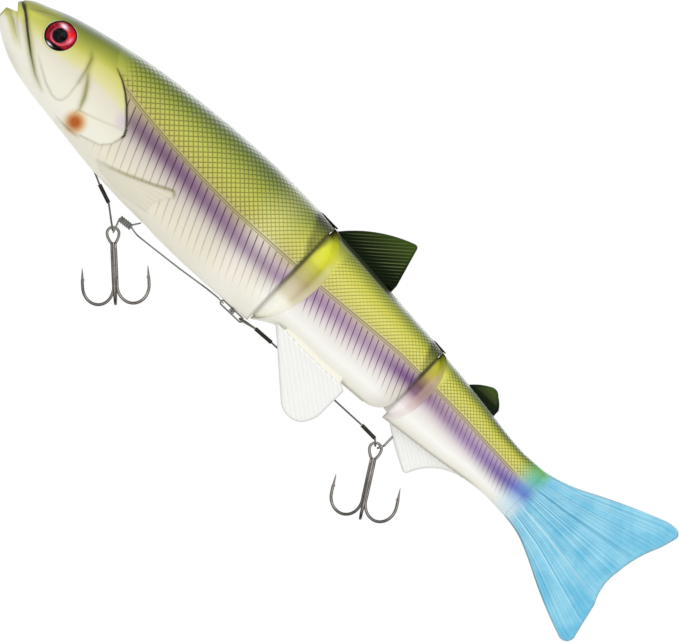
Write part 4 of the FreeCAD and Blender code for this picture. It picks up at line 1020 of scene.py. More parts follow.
# -------- operators
class SWIMBAIT_OT_stage(bpy.types.Operator):
    """Camera, floor, lamps and white surroundings"""

    bl_idname = "swimbait.stage"
    bl_label = "Stage"

    def execute(self, context):
        set_camera()
        set_surroundings()
        set_lamps()
        lay_floor()
        return {"FINISHED"}


LEAN = math.radians(43.5)
VIEW_CENTRE = (0.13199, -0.00078)
VIEW_WIDTH = 0.2006
CAMERA_AWAY = 2.4
SENSOR = 36.0
AMBIENT = 0.6
LAMPS_AIM = (0.12, 0, 0)
# Each lamp's name, place, width and power.
LAMPS = (
    ("key", (-0.45, -1.1, 0.95), 1.3, 8.4), ("fill", (0.75, -1.1, 0.1), 1, 3.6),
    ("back", (0.2, 0.9, 0.7), 0.8, 4),
)
FLOOR_CENTRE = (132, 0, -170)
FLOOR_RADIUS = 420.0
FLOOR_RINGS = 12
FLOOR_SIDES = 64


def set_camera():
    """A long lens square to the flank, rolled so that the nose is at the upper left."""
    lens = bpy.data.cameras.new("camera")
    lens.sensor_width = SENSOR
    lens.lens = SENSOR * CAMERA_AWAY / VIEW_WIDTH
    lens.clip_start = 0.01
    lens.clip_end = 20.0
    camera = bpy.data.objects.new("camera", lens)
    bpy.context.scene.collection.objects.link(camera)
    right = Vector((math.cos(LEAN), 0, math.sin(LEAN)))
    upward = Vector((-math.sin(LEAN), 0, math.cos(LEAN)))
    back = Vector((0, -1, 0))
    turn = Matrix((right, upward, back)).transposed().to_4x4()
    camera.matrix_world = Matrix.Translation((VIEW_CENTRE[0], -CAMERA_AWAY, VIEW_CENTRE[1])) @ turn
    bpy.context.scene.camera = camera
    bpy.context.scene.view_settings.view_transform = "Standard"


def set_surroundings():
    """White surroundings to the camera, in steel and through clear parts, and softer light."""
    world = bpy.data.worlds.new("surroundings")
    world.use_nodes = True
    bpy.context.scene.world = world
    tree = world.node_tree
    path = tree.nodes.new("ShaderNodeLightPath")
    seen = maths(tree, "MAXIMUM", path.outputs["Is Camera Ray"], path.outputs["Is Transmission Ray"])
    seen = maths(tree, "MAXIMUM", seen, path.outputs["Is Glossy Ray"])
    back = tree.nodes["Background"]
    back.inputs["Color"].default_value = (1, 1, 1, 1)
    wire(tree, maths(tree, "MAXIMUM", seen, AMBIENT), back.inputs["Strength"])


def set_lamps():
    """Three soft lamps: over the nose, low at the tail, and behind."""
    for name, place, width, power in LAMPS:
        lamp = bpy.data.lights.new(name, "AREA")
        lamp.shape = "DISK"
        lamp.size = width
        lamp.energy = power
        placed = bpy.data.objects.new(name, lamp)
        bpy.context.scene.collection.objects.link(placed)
        placed.location = place
        placed.rotation_euler = (Vector(LAMPS_AIM) - Vector(place)).to_track_quat("-Z", "Y").to_euler()


def lay_floor():
    """A round pale floor well under the lure, fading out at its edge."""
    centre = np.array(FLOOR_CENTRE)
    points = [centre]
    for ring in range(1, FLOOR_RINGS + 1):
        for step in range(FLOOR_SIDES):
            turn = 2 * math.pi * step / FLOOR_SIDES
            radius = FLOOR_RADIUS * ring / FLOOR_RINGS
            points.append(centre + radius * np.array([math.cos(turn), math.sin(turn), 0.0]))
    faces = [(0, 1 + step, 1 + (step + 1) % FLOOR_SIDES) for step in range(FLOOR_SIDES)]
    faces += (skin_faces(FLOOR_RINGS, FLOOR_SIDES) + 1).tolist()
    floor = piece("floor", points, faces)
    made, tree, shader = finish_of("pale_floor", roughness=0.7)
    shader.inputs["Base Color"].default_value = (*tint(244, 244, 243), 1)
    off = add(tree, "VectorMath", {0: place_of(tree), 1: tuple(centre * MM)}, operation="SUBTRACT")
    far = add(tree, "VectorMath", {0: off}, output=1, operation="LENGTH")
    wire(tree, spread(tree, far, 0.41, 0.22), shader.inputs["Alpha"])
    floor.data.materials.append(made)


class SWIMBAIT_OT_shells(bpy.types.Operator):
    """Finishes of the moulded shells, hinge parts, ballast and line tube"""

    bl_idname = "swimbait.shells"
    bl_label = "Shells and hinges"

    def execute(self, context):
        throat = shell_plastic("mouth_lining", True)
        collar = shell_plastic("collar_plastic", False)
        for side in ("left", "right"):
            dress("head_shell_" + side, throat)
            dress("mid_shell_" + side, collar)
            dress("rear_shell_" + side, collar)
        hinge = drawn_steel("hinge_steel", tint(150, 148, 144), 0.3)
        for node in ("front_hinge_lugs", "rear_hinge_lugs", "front_hinge_pin", "rear_hinge_pin", "tail_pin"):
            dress(node, hinge)
        lead = drawn_steel("cast_ballast", tint(92, 94, 98), 0.55)
        dress("front_ballast", lead)
        dress("mid_ballast", lead)
        dress("line_tube", rubbed_finish("tube_plastic", 2200.0, 0.00003, tint(214, 214, 204),
                                         tint(196, 196, 184), roughness=0.3, coat=0.3))
        return {"FINISHED"}


def shell_plastic(name, head):
    """Painted plastic where no skin lies: the mouth, the sockets and the collars."""
    made, tree, shader = finish_of(name, roughness=0.4, coat=0.05, ior=1.3)
    grain = grained(tree, shader, 1400.0, 0.00004)
    if head:
        paint = use_group(tree, "Body paint", Head=1.0)["Color"]
        shade = mix(tree, 0.35, paint, tint(150, 146, 110))
    else:
        shade = collar_colours(tree)
    wire(tree, shade, shader.inputs["Base Color"])
    wire(tree, maths(tree, "MULTIPLY_ADD", grain["Rubbed"], 0.12, 0.3), shader.inputs["Roughness"])
    return made


def collar_colours(tree):
    """Paint of the smooth collars, by height at each joint, with painted light on the notch faces behind
    them and painted shadow where they enter the socket.
    """
    x, z = side_place(tree)
    share = maths(tree, "MULTIPLY_ADD", z, 1 / COLLAR_RUN, 0.5)
    shade = mix(tree, maths(tree, "GREATER_THAN", x, 150.0), ramp(tree, share, FRONT_COLLAR_PAINT),
                ramp(tree, share, REAR_COLLAR_PAINT))
    # painted light: the notch faces behind each collar are lightened against the shade that they lie in
    low = maths(tree, "ABSOLUTE", maths(tree, "SUBTRACT", z, 1.0))
    front = times(tree, spread(tree, x, 117.4, 119.6), maths(tree, "LESS_THAN", x, 130.0),
                  spread(tree, low, 11.0, 5.0, 0.1, 0.4))
    shade = mix(tree, front, shade, tint(255, 248, 214))
    rear = times(tree, spread(tree, x, 162.9, 164.4), spread(tree, low, 8.5, 4.0, 0.15, 0.42))
    shade = mix(tree, rear, shade, tint(250, 226, 214))
    # painted shadow where the front collar enters the socket
    reach = maths(tree, "MULTIPLY_ADD", spread(tree, z, 8.0, 15.5), 1.6, 113.4)
    socket_shadow = times(tree, spread(tree, x, reach, 112.2), maths(tree, "GREATER_THAN", x, 108.0),
                  spread(tree, z, -12.0, 6.0, 0.25, 0.85))
    shade = mix(tree, socket_shadow, shade, tint(58, 56, 12))
    # painted shadow where the rear collar enters the socket
    socket_shadow = times(tree, spread(tree, x, 161.5, 160.6), maths(tree, "GREATER_THAN", x, 156.0),
                  spread(tree, z, 1.0, 4.5, 0.35, 0.9))
    return mix(tree, socket_shadow, shade, tint(58, 52, 16))


def drawn_steel(name, shade, roughness, edge=0.3):
    """Steel with fine drawing marks and stains, and painted shade where its surface turns away."""
    made, tree, shader = finish_of(name, roughness=roughness, metallic=1.0)
    grain = grained(tree, shader, 2600.0, 0.00003, Stretch=(1.0, 1.0, 0.35))
    stained = tuple(value * 0.5 for value in shade)
    lit = mix(tree, grain["Rubbed"], shade, stained)
    # painted shade on the edges that turn away from the camera
    turned = add(tree, "LayerWeight", {"Blend": 0.5}, output=1)
    away = tuple(value * edge for value in shade)
    wire(tree, mix(tree, spread(tree, turned, 0.03, 0.42), lit, away), shader.inputs["Base Color"])
    rough = maths(tree, "MULTIPLY_ADD", grain["Height"], 0.3, roughness - 0.12)
    wire(tree, rough, shader.inputs["Roughness"])
    return made


class SWIMBAIT_OT_skins(bpy.types.Operator):
    """Painted skins with scales, gill covers, creases and grooves"""

    bl_idname = "swimbait.skins"
    bl_label = "Painted skins"

    def execute(self, context):
        paint = flank_paint()
        self.lay_front(paint)
        self.lay_mid(paint)
        self.lay_rear(paint)
        return {"FINISHED"}

    def lay_front(self, paint):
        """Front section, capped at the nose and open for the eyes and the line tube."""
        full = np.ones(len(skin_turns()))
        points, marks = lay_skin(FRONT, NOSE * full, FRONT_PIVOT * full, 1.3, FOLD, front_relief)
        points = shape_mouth(points[1:])
        rows, count = points.shape[:2]
        nose = points[0].mean(axis=0)
        flat = points.reshape(-1, 3)
        faces = skin_faces(rows, count)
        middle = flat[faces].mean(axis=1)
        surface, _, back, up = eye_seat()
        toward = np.stack([middle[:, 0], -np.abs(middle[:, 1]), middle[:, 2]], axis=1) - surface
        radius = np.hypot(toward @ back, toward @ up)
        way = tube_way()
        along = middle @ way
        off = np.linalg.norm(middle - along[:, None] * way, axis=1)
        in_tube = (off < TUBE_BORE) & (np.abs(along) < TUBE_CLEARING)
        keep = (radius > EYE_RADIUS + EYE_ROOM) & ~in_tube
        keep |= middle[:, 0] > HEAD_END
        cap = [((j + 1) % count, j, len(flat)) for j in range(count)]
        flat = np.vstack([flat, nose[None, :]])
        marks = {label: values[1:].ravel() for label, values in marks.items()}
        marks = {label: np.append(values, values[0]) for label, values in marks.items()}
        self.lay("front_skin", "head_section", flat, [*faces[keep].tolist(), *cap], marks, paint)

    def lay_mid(self, paint):
        """Middle section, its rear edge rounded at the belly."""
        turns = skin_turns()
        _, middle, _, drop = MID.oval(REAR_PIVOT)
        foot = middle - drop + CORNER_ROUND
        ends = np.full(len(turns), REAR_PIVOT)
        for _ in range(SETTLING_ROUNDS):
            under = np.clip(foot - MID.surface(ends, turns)[:, 2], 0, CORNER_ROUND)
            ends = REAR_PIVOT - CORNER_ROUND + np.sqrt(CORNER_ROUND ** 2 - under ** 2)
        starts = limits(MID, FRONT_PIVOT, turns)
        points, marks = lay_skin(MID, starts, ends, 1.0, FOLD, mid_relief)
        self.lay_grid("mid_skin", "mid_section", points, marks, paint)

    def lay_rear(self, paint):
        """Rear section, up to the soft tail."""
        starts = limits(REAR, REAR_PIVOT, skin_turns())
        ends = np.full(len(starts), SKIN_END)
        points, marks = lay_skin(REAR, starts, ends, 1.0, REAR_FOLD, rear_relief)
        self.lay_grid("rear_skin", "rear_section", points, marks, paint)

    def lay_grid(self, name, body, points, marks, paint):
        rows, count = points.shape[:2]
        self.lay(name, body, points.reshape(-1, 3), skin_faces(rows, count).tolist(), marks, paint)

    def lay(self, name, body, points, faces, marks, paint):
        made = piece(name, points, faces, marks)
        made.data.materials.append(paint)
        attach(made, body)


# Middles of the orange spot and of the lilac patch on the gill cover, in metres.
SPOT = (0.0352, 0, -0.0119)
LILAC = (0.0462, 0, -0.0012)


def flank_paint():
    """Paint of the skins: body colours, scale lines, grooves, spot, and painted shade in the creases and by
    the joints, painted highlights and sheen.
    """
    made, tree, shader = finish_of("painted_flank", roughness=0.42, coat=0.08, coat_roughness=0.15,
                                   ior=1.3)
    cover = marked(tree, "cover")
    paint = use_group(tree, "Body paint", Head=cover)["Color"]
    lattice = use_group(tree, "Scale lattice", Rise=marked(tree, "rise"), Fall=marked(tree, "fall"),
                        Fall_weight=marked(tree, "fall_weight"))
    scaled = marked(tree, "scaled")
    dark = mix(tree, 1.0, paint, tint(120, 124, 84), "MULTIPLY")
    paint = mix(tree, times(tree, lattice["Lines"], scaled, 0.75), paint, dark)
    # painted highlight on the top of each scale's dome
    glint = times(tree, spread(tree, lattice["Domes"], 0.75, 1.0), scaled, 0.22)
    paint = mix(tree, glint, paint, tint(238, 236, 160))
    paint = paint_grooves(tree, paint)
    paint = paint_pectoral(tree, paint)
    paint = paint_spots(tree, paint, cover)
    paint = mix(tree, marked(tree, "yellow"), paint, tint(202, 202, 84))
    paint = mix(tree, marked(tree, "olive"), paint, tint(146, 148, 58))
    # painted shade in the creases of the head
    crease = marked(tree, "crease")
    deep = mix(tree, spread(tree, crease, 0.3, 0.9), tint(132, 122, 62), colours().crease)
    paint = mix(tree, crease, paint, deep)
    paint = mix(tree, times(tree, marked(tree, "foot"), 0.55), paint, tint(140, 138, 120))
    # darker airbrushed paint by the joints, with painted gap shadow along the rims
    smoke = marked(tree, "smoke")
    paint = mix(tree, smoke, paint, tint(28, 36, 8))
    # painted sheen: the back is paler where it turns away from the camera, a painted reflection of the white
    # surroundings
    turned = add(tree, "LayerWeight", {"Blend": 0.5}, output=1)
    facing = parts_of(tree, add(tree, "TexCoord", output=1))
    sheen = times(tree, spread(tree, turned, 0.32, 0.8, 0.0, 0.62),
                  spread(tree, facing["Z"], 0.5, 0.85), rest_of(tree, smoke))
    paint = mix(tree, sheen, paint, tint(188, 197, 196))
    wire(tree, paint, shader.inputs["Base Color"])
    grain = use_group(tree, "Surface grain", Fineness=1300.0)
    wire(tree, maths(tree, "MULTIPLY_ADD", grain["Rubbed"], 0.14, 0.36), shader.inputs["Roughness"])
    domes = times(tree, lattice["Domes"], scaled)
    bump(tree, shader, maths(tree, "MULTIPLY_ADD", grain["Height"], 0.12, domes), 0.0001, 0.6)
    return made


def paint_grooves(tree, paint):
    """Darker slanted grooves under the lateral line, and the double line itself."""
    girth = marked(tree, "girth")
    groove = times(tree, rest_of(tree, spread(tree, waves(tree, marked(tree, "rib")), 0.03, 0.24)),
                   marked(tree, "ribbed"), spread(tree, girth, -13.0, -4.0, 0.4, 1.0))
    paint = mix(tree, groove, paint, mix(tree, 1.0, paint, tint(124, 98, 106), "MULTIPLY"))
    upper = spread(tree, maths(tree, "ABSOLUTE", girth), 0.28, 0.08)
    lower = spread(tree, maths(tree, "ABSOLUTE", maths(tree, "ADD", girth, 0.62)), 0.26, 0.08)
    double = maths(tree, "MAXIMUM", upper, times(tree, lower, 0.75))
    return mix(tree, times(tree, double, marked(tree, "line"), 0.7), paint, tint(92, 84, 40))


def paint_pectoral(tree, paint):
    """The pectoral fin: a pale web, its rays and its leading edge."""
    rays = use_group(tree, "Fin rays", Phase=marked(tree, "fin_ray"), Width=0.5)
    web = mix(tree, times(tree, rays["Lines"], 0.35), tint(226, 222, 200), tint(196, 188, 178))
    paint = mix(tree, times(tree, marked(tree, "fin"), 0.65), paint, web)
    return mix(tree, marked(tree, "lead"), paint, tint(122, 116, 58))


def paint_spots(tree, paint, cover):
    """The orange spot with its pale ring, and the lilac patch of the gill cover."""
    side = add(tree, "VectorMath", {0: place_of(tree), 1: (1.0, 0.0, 1.0)}, operation="MULTIPLY")
    gap = add(tree, "VectorMath", {0: side, 1: SPOT}, output=1, operation="DISTANCE")
    paint = mix(tree, spread(tree, gap, 0.0046, 0.0022, 0.0, 0.7), paint, tint(226, 172, 84))
    paint = mix(tree, spread(tree, gap, 0.0034, 0.0008), paint, colours().orange)
    gap = add(tree, "VectorMath", {0: side, 1: LILAC}, output=1, operation="DISTANCE")
    lilac = times(tree, spread(tree, gap, 0.0048, 0.0005, 0.0, 0.7), cover)
    return mix(tree, lilac, paint, tint(206, 188, 212))


class SWIMBAIT_OT_eyes(bpy.types.Operator):
    """Red foil eyes under clear domes, with their moulded rims"""

    bl_idname = "swimbait.eyes"
    bl_label = "Eyes"

    def execute(self, context):
        foil = eye_foil()
        clear = clear_dome()
        rim = eye_rim_paint()
        for side, sign in (("left", 1), ("right", -1)):
            dress("eye_iris_" + side, foil)
            dome = piece("eye_dome_" + side, *eye_dome(sign))
            dome.data.materials.append(clear)
            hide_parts("eye_lens_" + side)
            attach(dome, "head_section")
            points, faces, marks = eye_rim(sign)
            made = piece("eye_rim_" + side, points, faces, marks)
            made.data.materials.append(rim)
            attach(made, "head_section")
        return {"FINISHED"}


def across_eye(tree):
    """Distance from an eye's own axis, and the offsets behind it and over it, in metres."""
    surface, _, back, up = eye_seat()
    parts = parts_of(tree, place_of(tree))
    folded = times(tree, maths(tree, "ABSOLUTE", parts["Y"]), -1.0)
    left = add(tree, "CombineXYZ", {"X": parts["X"], "Y": folded, "Z": parts["Z"]})
    off = add(tree, "VectorMath", {0: left, 1: tuple(surface * MM)}, operation="SUBTRACT")
    behind = add(tree, "VectorMath", {0: off, 1: tuple(back)}, output=1, operation="DOT_PRODUCT")
    over = add(tree, "VectorMath", {0: off, 1: tuple(up)}, output=1, operation="DOT_PRODUCT")
    both = maths(tree, "ADD", square(tree, behind), square(tree, over))
    return maths(tree, "SQRT", both), behind, over


# Painted highlights and shade on the foil, and the painted glint in its black foot: the place behind and
# over the eye's middle, half width and half height in metres, and a colour card.
FOIL_LIGHT_AND_SHADE = (
    ((0.0022, 0.0024, 0.0016, 0.0014), (214, 22, 30)), ((-0.0031, -0.0004, 0.0010, 0.0016), (88, 6, 24)),
    ((-0.0013, 0.0028, 0.0011, 0.0006), (246, 214, 226)),
    ((0.0029, 0.0008, 0.0005, 0.0011), (236, 130, 160)),
)
FOOT_GLINT = ((-0.0008, -0.0040, 0.0009, 0.0003), (232, 224, 228))


def eye_foil():
    """Red foil with a black pupil, painted highlights and shade in front and behind, and painted shade along
    its foot.
    """
    made, tree, shader = finish_of("eye_foil", roughness=0.4, ior=1.06)
    radius, behind, over = across_eye(tree)
    share = maths(tree, "DIVIDE", radius, EYE_RADIUS * MM)
    turn = maths(tree, "ARCTAN2", over, behind)
    streaks = streaks_along(tree, times(tree, turn, 9.0), 1.6, 3.0)
    red = mix(tree, spread(tree, streaks, 0.4, 0.75), colours().eye_red, tint(96, 5, 22))
    # painted highlights and shade over the foil
    for oval, card in FOIL_LIGHT_AND_SHADE:
        red = mix(tree, facet(tree, behind, over, *oval), red, tint(*card))
    inner = times(tree, spread(tree, share, 0.46, 0.52), spread(tree, share, 0.66, 0.56),
                  spread(tree, over, 0.003, -0.001, 0.25, 0.8))
    red = mix(tree, inner, red, tint(206, 84, 106))
    # painted shade: the foil is black along its foot
    low = maths(tree, "SUBTRACT", times(tree, behind, 0.16), over)
    red = mix(tree, spread(tree, low, 0.0025, 0.0031), red, tint(8, 2, 4))
    # painted glint in the black foot
    oval, card = FOOT_GLINT
    red = mix(tree, facet(tree, behind, over, *oval), red, tint(*card))
    off = add(tree, "CombineXYZ", {"X": maths(tree, "ADD", behind, 0.0004), "Y": over})
    pupil = add(tree, "VectorMath", {0: off}, output=1, operation="LENGTH")
    black = mix(tree, spread(tree, pupil, 0.0024, 0.0021), red, tint(3, 2, 3))
    edge = mix(tree, spread(tree, share, 0.90, 0.96), black, tint(10, 5, 6))
    wire(tree, edge, shader.inputs["Base Color"])
    bump(tree, shader, streaks, 0.00008, 0.4)
    return made


def facet(tree, behind, over, place, height, wide, tall):
    """A soft oval patch of the foil, 1 at its middle."""
    first = maths(tree, "DIVIDE", maths(tree, "SUBTRACT", behind, place), wide)
    second = maths(tree, "DIVIDE", maths(tree, "SUBTRACT", over, height), tall)
    return bell(tree, maths(tree, "ADD", square(tree, first), square(tree, second)))


# The clear dome: how deep it sits under the flank, its half width and its height.
DOME_SINK = 0.7
DOME_RADIUS = 4.68
DOME_HEIGHT = 2.2
DOME_ROWS = 24
EYE_SIDES = 96


def eye_dome(sign):
    """A clear cap just clear of the foil: rings from its rim to its top, and a flat back."""
    surface, facing, back, up = eye_seat()
    seat = surface - DOME_SINK * facing
    radius = (DOME_RADIUS ** 2 + DOME_HEIGHT ** 2) / (2 * DOME_HEIGHT)
    reach = math.asin(DOME_RADIUS / radius)
    points = []
    for row in range(DOME_ROWS):
        lean = reach * (1 - row / DOME_ROWS)
        for step in range(EYE_SIDES):
            turn = 2 * math.pi * step / EYE_SIDES
            across = radius * math.sin(lean) * (math.cos(turn) * back + math.sin(turn) * up)
            points.append(seat + across + (radius * math.cos(lean) - radius + DOME_HEIGHT) * facing)
    points.append(seat + DOME_HEIGHT * facing)
    points.append(seat)
    last = (DOME_ROWS - 1) * EYE_SIDES
    top = last + EYE_SIDES
    faces = skin_faces(DOME_ROWS, EYE_SIDES).tolist()
    for step in range(EYE_SIDES):
        after = (step + 1) % EYE_SIDES
        faces.append((last + step, top, last + after))
        faces.append((after, top + 1, step))
    points = np.array(points) * np.array([1, sign, 1])
    if sign > 0:
        faces = [face[::-1] for face in faces]
    return points, faces


def clear_dome():
    """Clear resin that lets the lamps through to the foil."""
    made, tree, shader = finish_of("clear_dome", roughness=0.02, ior=1.16)
    shader.inputs["Transmission Weight"].default_value = 1.0
    grain = use_group(tree, "Surface grain", Fineness=600.0)
    resin = mix(tree, grain["Rubbed"], (1, 1, 1), tint(250, 246, 246))
    wire(tree, resin, shader.inputs["Base Color"])
    path = tree.nodes.new("ShaderNodeLightPath")
    solid = maths(tree, "MULTIPLY_ADD", path.outputs["Is Shadow Ray"], -0.6, 0.7)
    wire(tree, solid, shader.inputs["Alpha"])
    return made


# Profile of the lip round an eye: radius, and height over the head. The first two places lie in
# the socket; the others follow the head.
RIM_PROFILE = (
    (4.72, -1.45), (4.76, -0.3), (4.82, 0.19), (4.92, 0.35), (5.04, 0.37), (5.14, 0.27), (5.22, 0.21),
    (5.34, 0.35), (5.52, 0.33), (5.8, 0.19), (6.1, -0.1),
)
IN_SOCKET = 2
SEARCH_REACH = (-6, 3)
SEARCH_ROUNDS = 28


def eye_rim(sign):
    """A lip round an eye: a turned profile whose foot follows the head."""
    surface, facing, back, up = eye_seat()
    points = []
    ring = []
    for place, (radius, lift) in enumerate(RIM_PROFILE):
        for step in range(EYE_SIDES):
            turn = 2 * math.pi * step / EYE_SIDES
            spot = surface + radius * (math.cos(turn) * back + math.sin(turn) * up)
            follow = 0.0 if place < IN_SOCKET else height_of_head(spot, facing)
            points.append((spot + facing * (follow + lift)) * np.array([1, sign, 1]))
            ring.append(radius)
    faces = skin_faces(len(RIM_PROFILE), EYE_SIDES)
    if sign > 0:
        faces = faces[:, ::-1]
    return points, faces.tolist(), {"ring": ring}


def height_of_head(spot, facing):
    """How far the head's flank lies from a spot, along the way that the eye faces."""
    low, high = SEARCH_REACH
    for _ in range(SEARCH_ROUNDS):
        middle = (low + high) / 2
        probe = spot + facing * middle
        if -probe[1] < float(FRONT.side(np.array(probe[0]), np.array(probe[2]))):
            low = middle
        else:
            high = middle
    return low


def eye_rim_paint():
    """The lip's paint: painted shade in the gap inside, pale ring, olive and pearl like the head."""
    made, tree, shader = finish_of("eye_rim_paint", roughness=0.4, coat=0.05, ior=1.3)
    ring = marked(tree, "ring")
    paint = use_group(tree, "Body paint", Head=1.0)["Color"]
    pale = mix(tree, spread(tree, ring, 5.3, 5.7), tint(204, 208, 168), paint)
    pale = mix(tree, spread(tree, ring, 5.08, 5.14), pale, tint(176, 182, 92))
    dark = times(tree, spread(tree, ring, 5.1, 5.17), spread(tree, ring, 5.34, 5.25), 0.8)
    pale = mix(tree, dark, pale, tint(66, 74, 26))
    pale = mix(tree, spread(tree, ring, 5.34, 5.6), pale, paint)
    # painted shade in the gap between the lip and the dome
    inner = mix(tree, spread(tree, ring, 4.93, 4.84), pale, tint(14, 14, 8))
    wire(tree, inner, shader.inputs["Base Color"])
    grained(tree, shader, 1300.0, 0.00002)
    return made


# -------- fins and tail
TAIL_CORNERS = (
    (0, -0.37, 0), (0, 0.37, -0.03), (0.30, 0.55, 0.015), (0.86, 0.98, 0.05), (0.95, 1, 0.2),
    (1, 0.92, 0.03), (0.93, 0.56, -0.04), (0.862, 0.09, -0.09), (0.90, -0.42, 0), (0.95, -0.86, 0.3),
    (0.88, -1.03, 0.02), (0.42, -0.66, -0.012), (0.20, -0.468, -0.034),
)
DORSAL_CORNERS = (
    (0, 0, 0), (0.14, -0.04, 0), (0.16, -0.34, 0), (0.90, -0.46, 0), (0.92, -0.12, 0), (1, -0.12, 0),
    (1, 0.05, 0), (0.87, 0.94, -0.22), (0.81, 0.99, -0.07),
)
ADIPOSE_CORNERS = (
    (0, -0.1, 0), (0.10, -0.3, 0), (0.12, -1.1, 0), (0.88, -1.4, 0), (0.90, -0.7, 0), (1, -0.6, 0),
    (1, 0.02, -0.06), (0.75, 0.82, -0.2), (0.45, 0.98, -0.05),
)
PELVIC_CORNERS = (
    (0, 0, 0), (0.61, -0.91, -0.18), (0.90, -0.92, -0.08), (0.99, -0.60, 0), (1, -0.06, 0), (0.92, 0.02, 0),
    (0.90, 0.2, 0), (0.14, 0.2, 0), (0.12, 0.02, 0),
)
ANAL_CORNERS = (
    (0, 0, -0.02), (0.46, -0.99, -0.25), (0.53, -0.90, 0.13), (1, 0.36, 0), (0.92, 0.44, 0),
    (0.90, 0.75, 0), (0.12, 0.36, 0), (0.10, 0.12, 0),
)
# Each fin's body, outline, place (front, length, level and height), half thickness at root and tip,
# slant and spacing of its rays, slot, the way that it points and its side.
PELVIC_FIN = ("mid_section", PELVIC_CORNERS, (118.5, 28.6, -14.0, 18.0), (0.7, 0.4), -38.0, 1.35,
              "clear_fin", -1)
FINS = {
    "dorsal_fin": ("mid_section", DORSAL_CORNERS, (113.0, 24.2, 17.6, 13.6), (1.1, 0.5), 40.0, 1.0,
                   "dark_fin", 1, 0),
    "adipose_fin": ("rear_section", ADIPOSE_CORNERS, (172.6, 11.8, 12.2, 3.8), (0.9, 0.5), 56.0, 400.0,
                    "dark_fin", 1, 0),
    "anal_fin": ("rear_section", ANAL_CORNERS, (163.0, 27.5, -12.2, 7.8), (0.7, 0.4), -33.0, 1.1,
                 "clear_fin", -1, 0),
    "pelvic_fin_left": (*PELVIC_FIN, -1),
    "pelvic_fin_right": (*PELVIC_FIN, 1),
}
FIN_STEP = 0.3
FIN_ROUNDING = 0.7             # how far in from its edge a fin is rounded
RAY_HEIGHT = 0.13
RAY_SINK = 0.08
PELVIC_SPLAY = math.radians(12.0)
PELVIC_SIDE = 4.2
# Level of the belly under the clear fins: a place, and the height there.
BELLY_LEVEL = ((115, -13.6), (142, -14.5), (150, -14), (162, -12.5), (192, -9.2))
TOUCHING = 1e-4


# Spacing of the points inside an outline, in shares of a step: from row to row, and off the edge.
ROW_SHARE = 0.866
EDGE_SHARE = 0.55


def fin_outline(corners, x0, length, z0, height, step):
    """Points along a fin's edge. A bulge is the arc's height over its chord, to the left."""
    outline = []
    spots = [np.array([x0 + a * length, z0 + b * height]) for a, b, _ in corners]
    for i, (_, _, bulge) in enumerate(corners):
        start = spots[i]
        chord = spots[(i + 1) % len(spots)] - start
        run = float(np.hypot(*chord))
        count = max(1, round(run / step))
        left = np.array([-chord[1], chord[0]]) / run
        for n in range(count):
            t = n / count
            spot = start + chord * t
            if bulge:
                tall = abs(bulge) * run
                radius = (run ** 2 / 4 + tall ** 2) / (2 * tall)
                off = (t - 0.5) * run
                rise = math.sqrt(radius ** 2 - off ** 2) - (radius - tall)
                spot = spot + left * math.copysign(rise, bulge)
            outline.append(spot)
    return np.array(outline)


def fill_outline(outline, step):
    """Evenly spaced points inside an outline, and the triangles through them all."""
    low = outline.min(axis=0)
    high = outline.max(axis=0)
    grid = []
    for n, z in enumerate(np.arange(low[1], high[1], step * ROW_SHARE)):
        places = np.arange(low[0] + (n % 2) * step / 2, high[0], step)
        grid.append(np.stack([places, np.full(len(places), z)], axis=1))
    grid = np.concatenate(grid)
    gap, _ = distance(grid[:, 0], grid[:, 1], np.vstack([outline, outline[:1]]))
    grid = grid[inside(grid[:, 0], grid[:, 1], outline) & (gap > EDGE_SHARE * step)]
    spots = np.vstack([outline, grid])
    count = len(outline)
    rim = [(i, (i + 1) % count) for i in range(count)]
    made = delaunay_2d_cdt([Vector(spot) for spot in spots], rim, [], 1, 1e-6)
    spots = np.array([list(spot) for spot in made[0]])
    return spots, [list(face) for face in made[2]]


def make_blade(outline, step, thickness, free_edge, root=None):
    """A closed blade: two sheets that meet along the outline, apart from a flat root end."""
    spots, triangles = fill_outline(outline, step)
    x, z = spots.T
    gap, _ = distance(x, z, np.vstack([outline, outline[:1]]))
    on_rim = gap < TOUCHING
    if root is not None:
        at_root = np.abs(x - root) < TOUCHING
        ends = outline[np.abs(outline[:, 0] - root) < 1e-6, 1][[0, -1]]
        on_rim &= ~(at_root & (z > ends.min() + 0.01) & (z < ends.max() - 0.01))
    half, marks = thickness(x, z, distance(x, z, free_edge)[0])
    half = np.where(on_rim, 0.0, half)
    front = np.stack([x, -half, z], axis=1)
    inner = np.nonzero(~on_rim)[0]
    back_index = np.arange(len(spots))
    back_index[inner] = len(spots) + np.arange(len(inner))
    back = np.stack([x[inner], half[inner], z[inner]], axis=1)
    faces = []
    for a, b, c in triangles:
        turn = (x[b] - x[a]) * (z[c] - z[a]) - (x[c] - x[a]) * (z[b] - z[a])
        if turn < 0:
            b, c = c, b
        faces.append((a, b, c))
        faces.append((int(back_index[a]), int(back_index[c]), int(back_index[b])))
    if root is not None:
        end = np.nonzero(at_root)[0]
        end = end[np.argsort(z[end])]
        for a, b in zip(end[:-1], end[1:]):
            wall = [int(a), int(b), int(back_index[b]), int(back_index[a])]
            faces.append(tuple(dict.fromkeys(wall)))
    points = np.vstack([front, back])
    marks = {label: np.concatenate([values, values[inner]]) for label, values in marks.items()}
    return points, faces, marks


def rounded(gap, reach):
    """0 at an edge, and 1 from reach inwards, along a quarter of a circle."""
    return np.sqrt(np.clip(1 - (1 - np.clip(gap / reach, 0, 1)) ** 2, 0, 1))


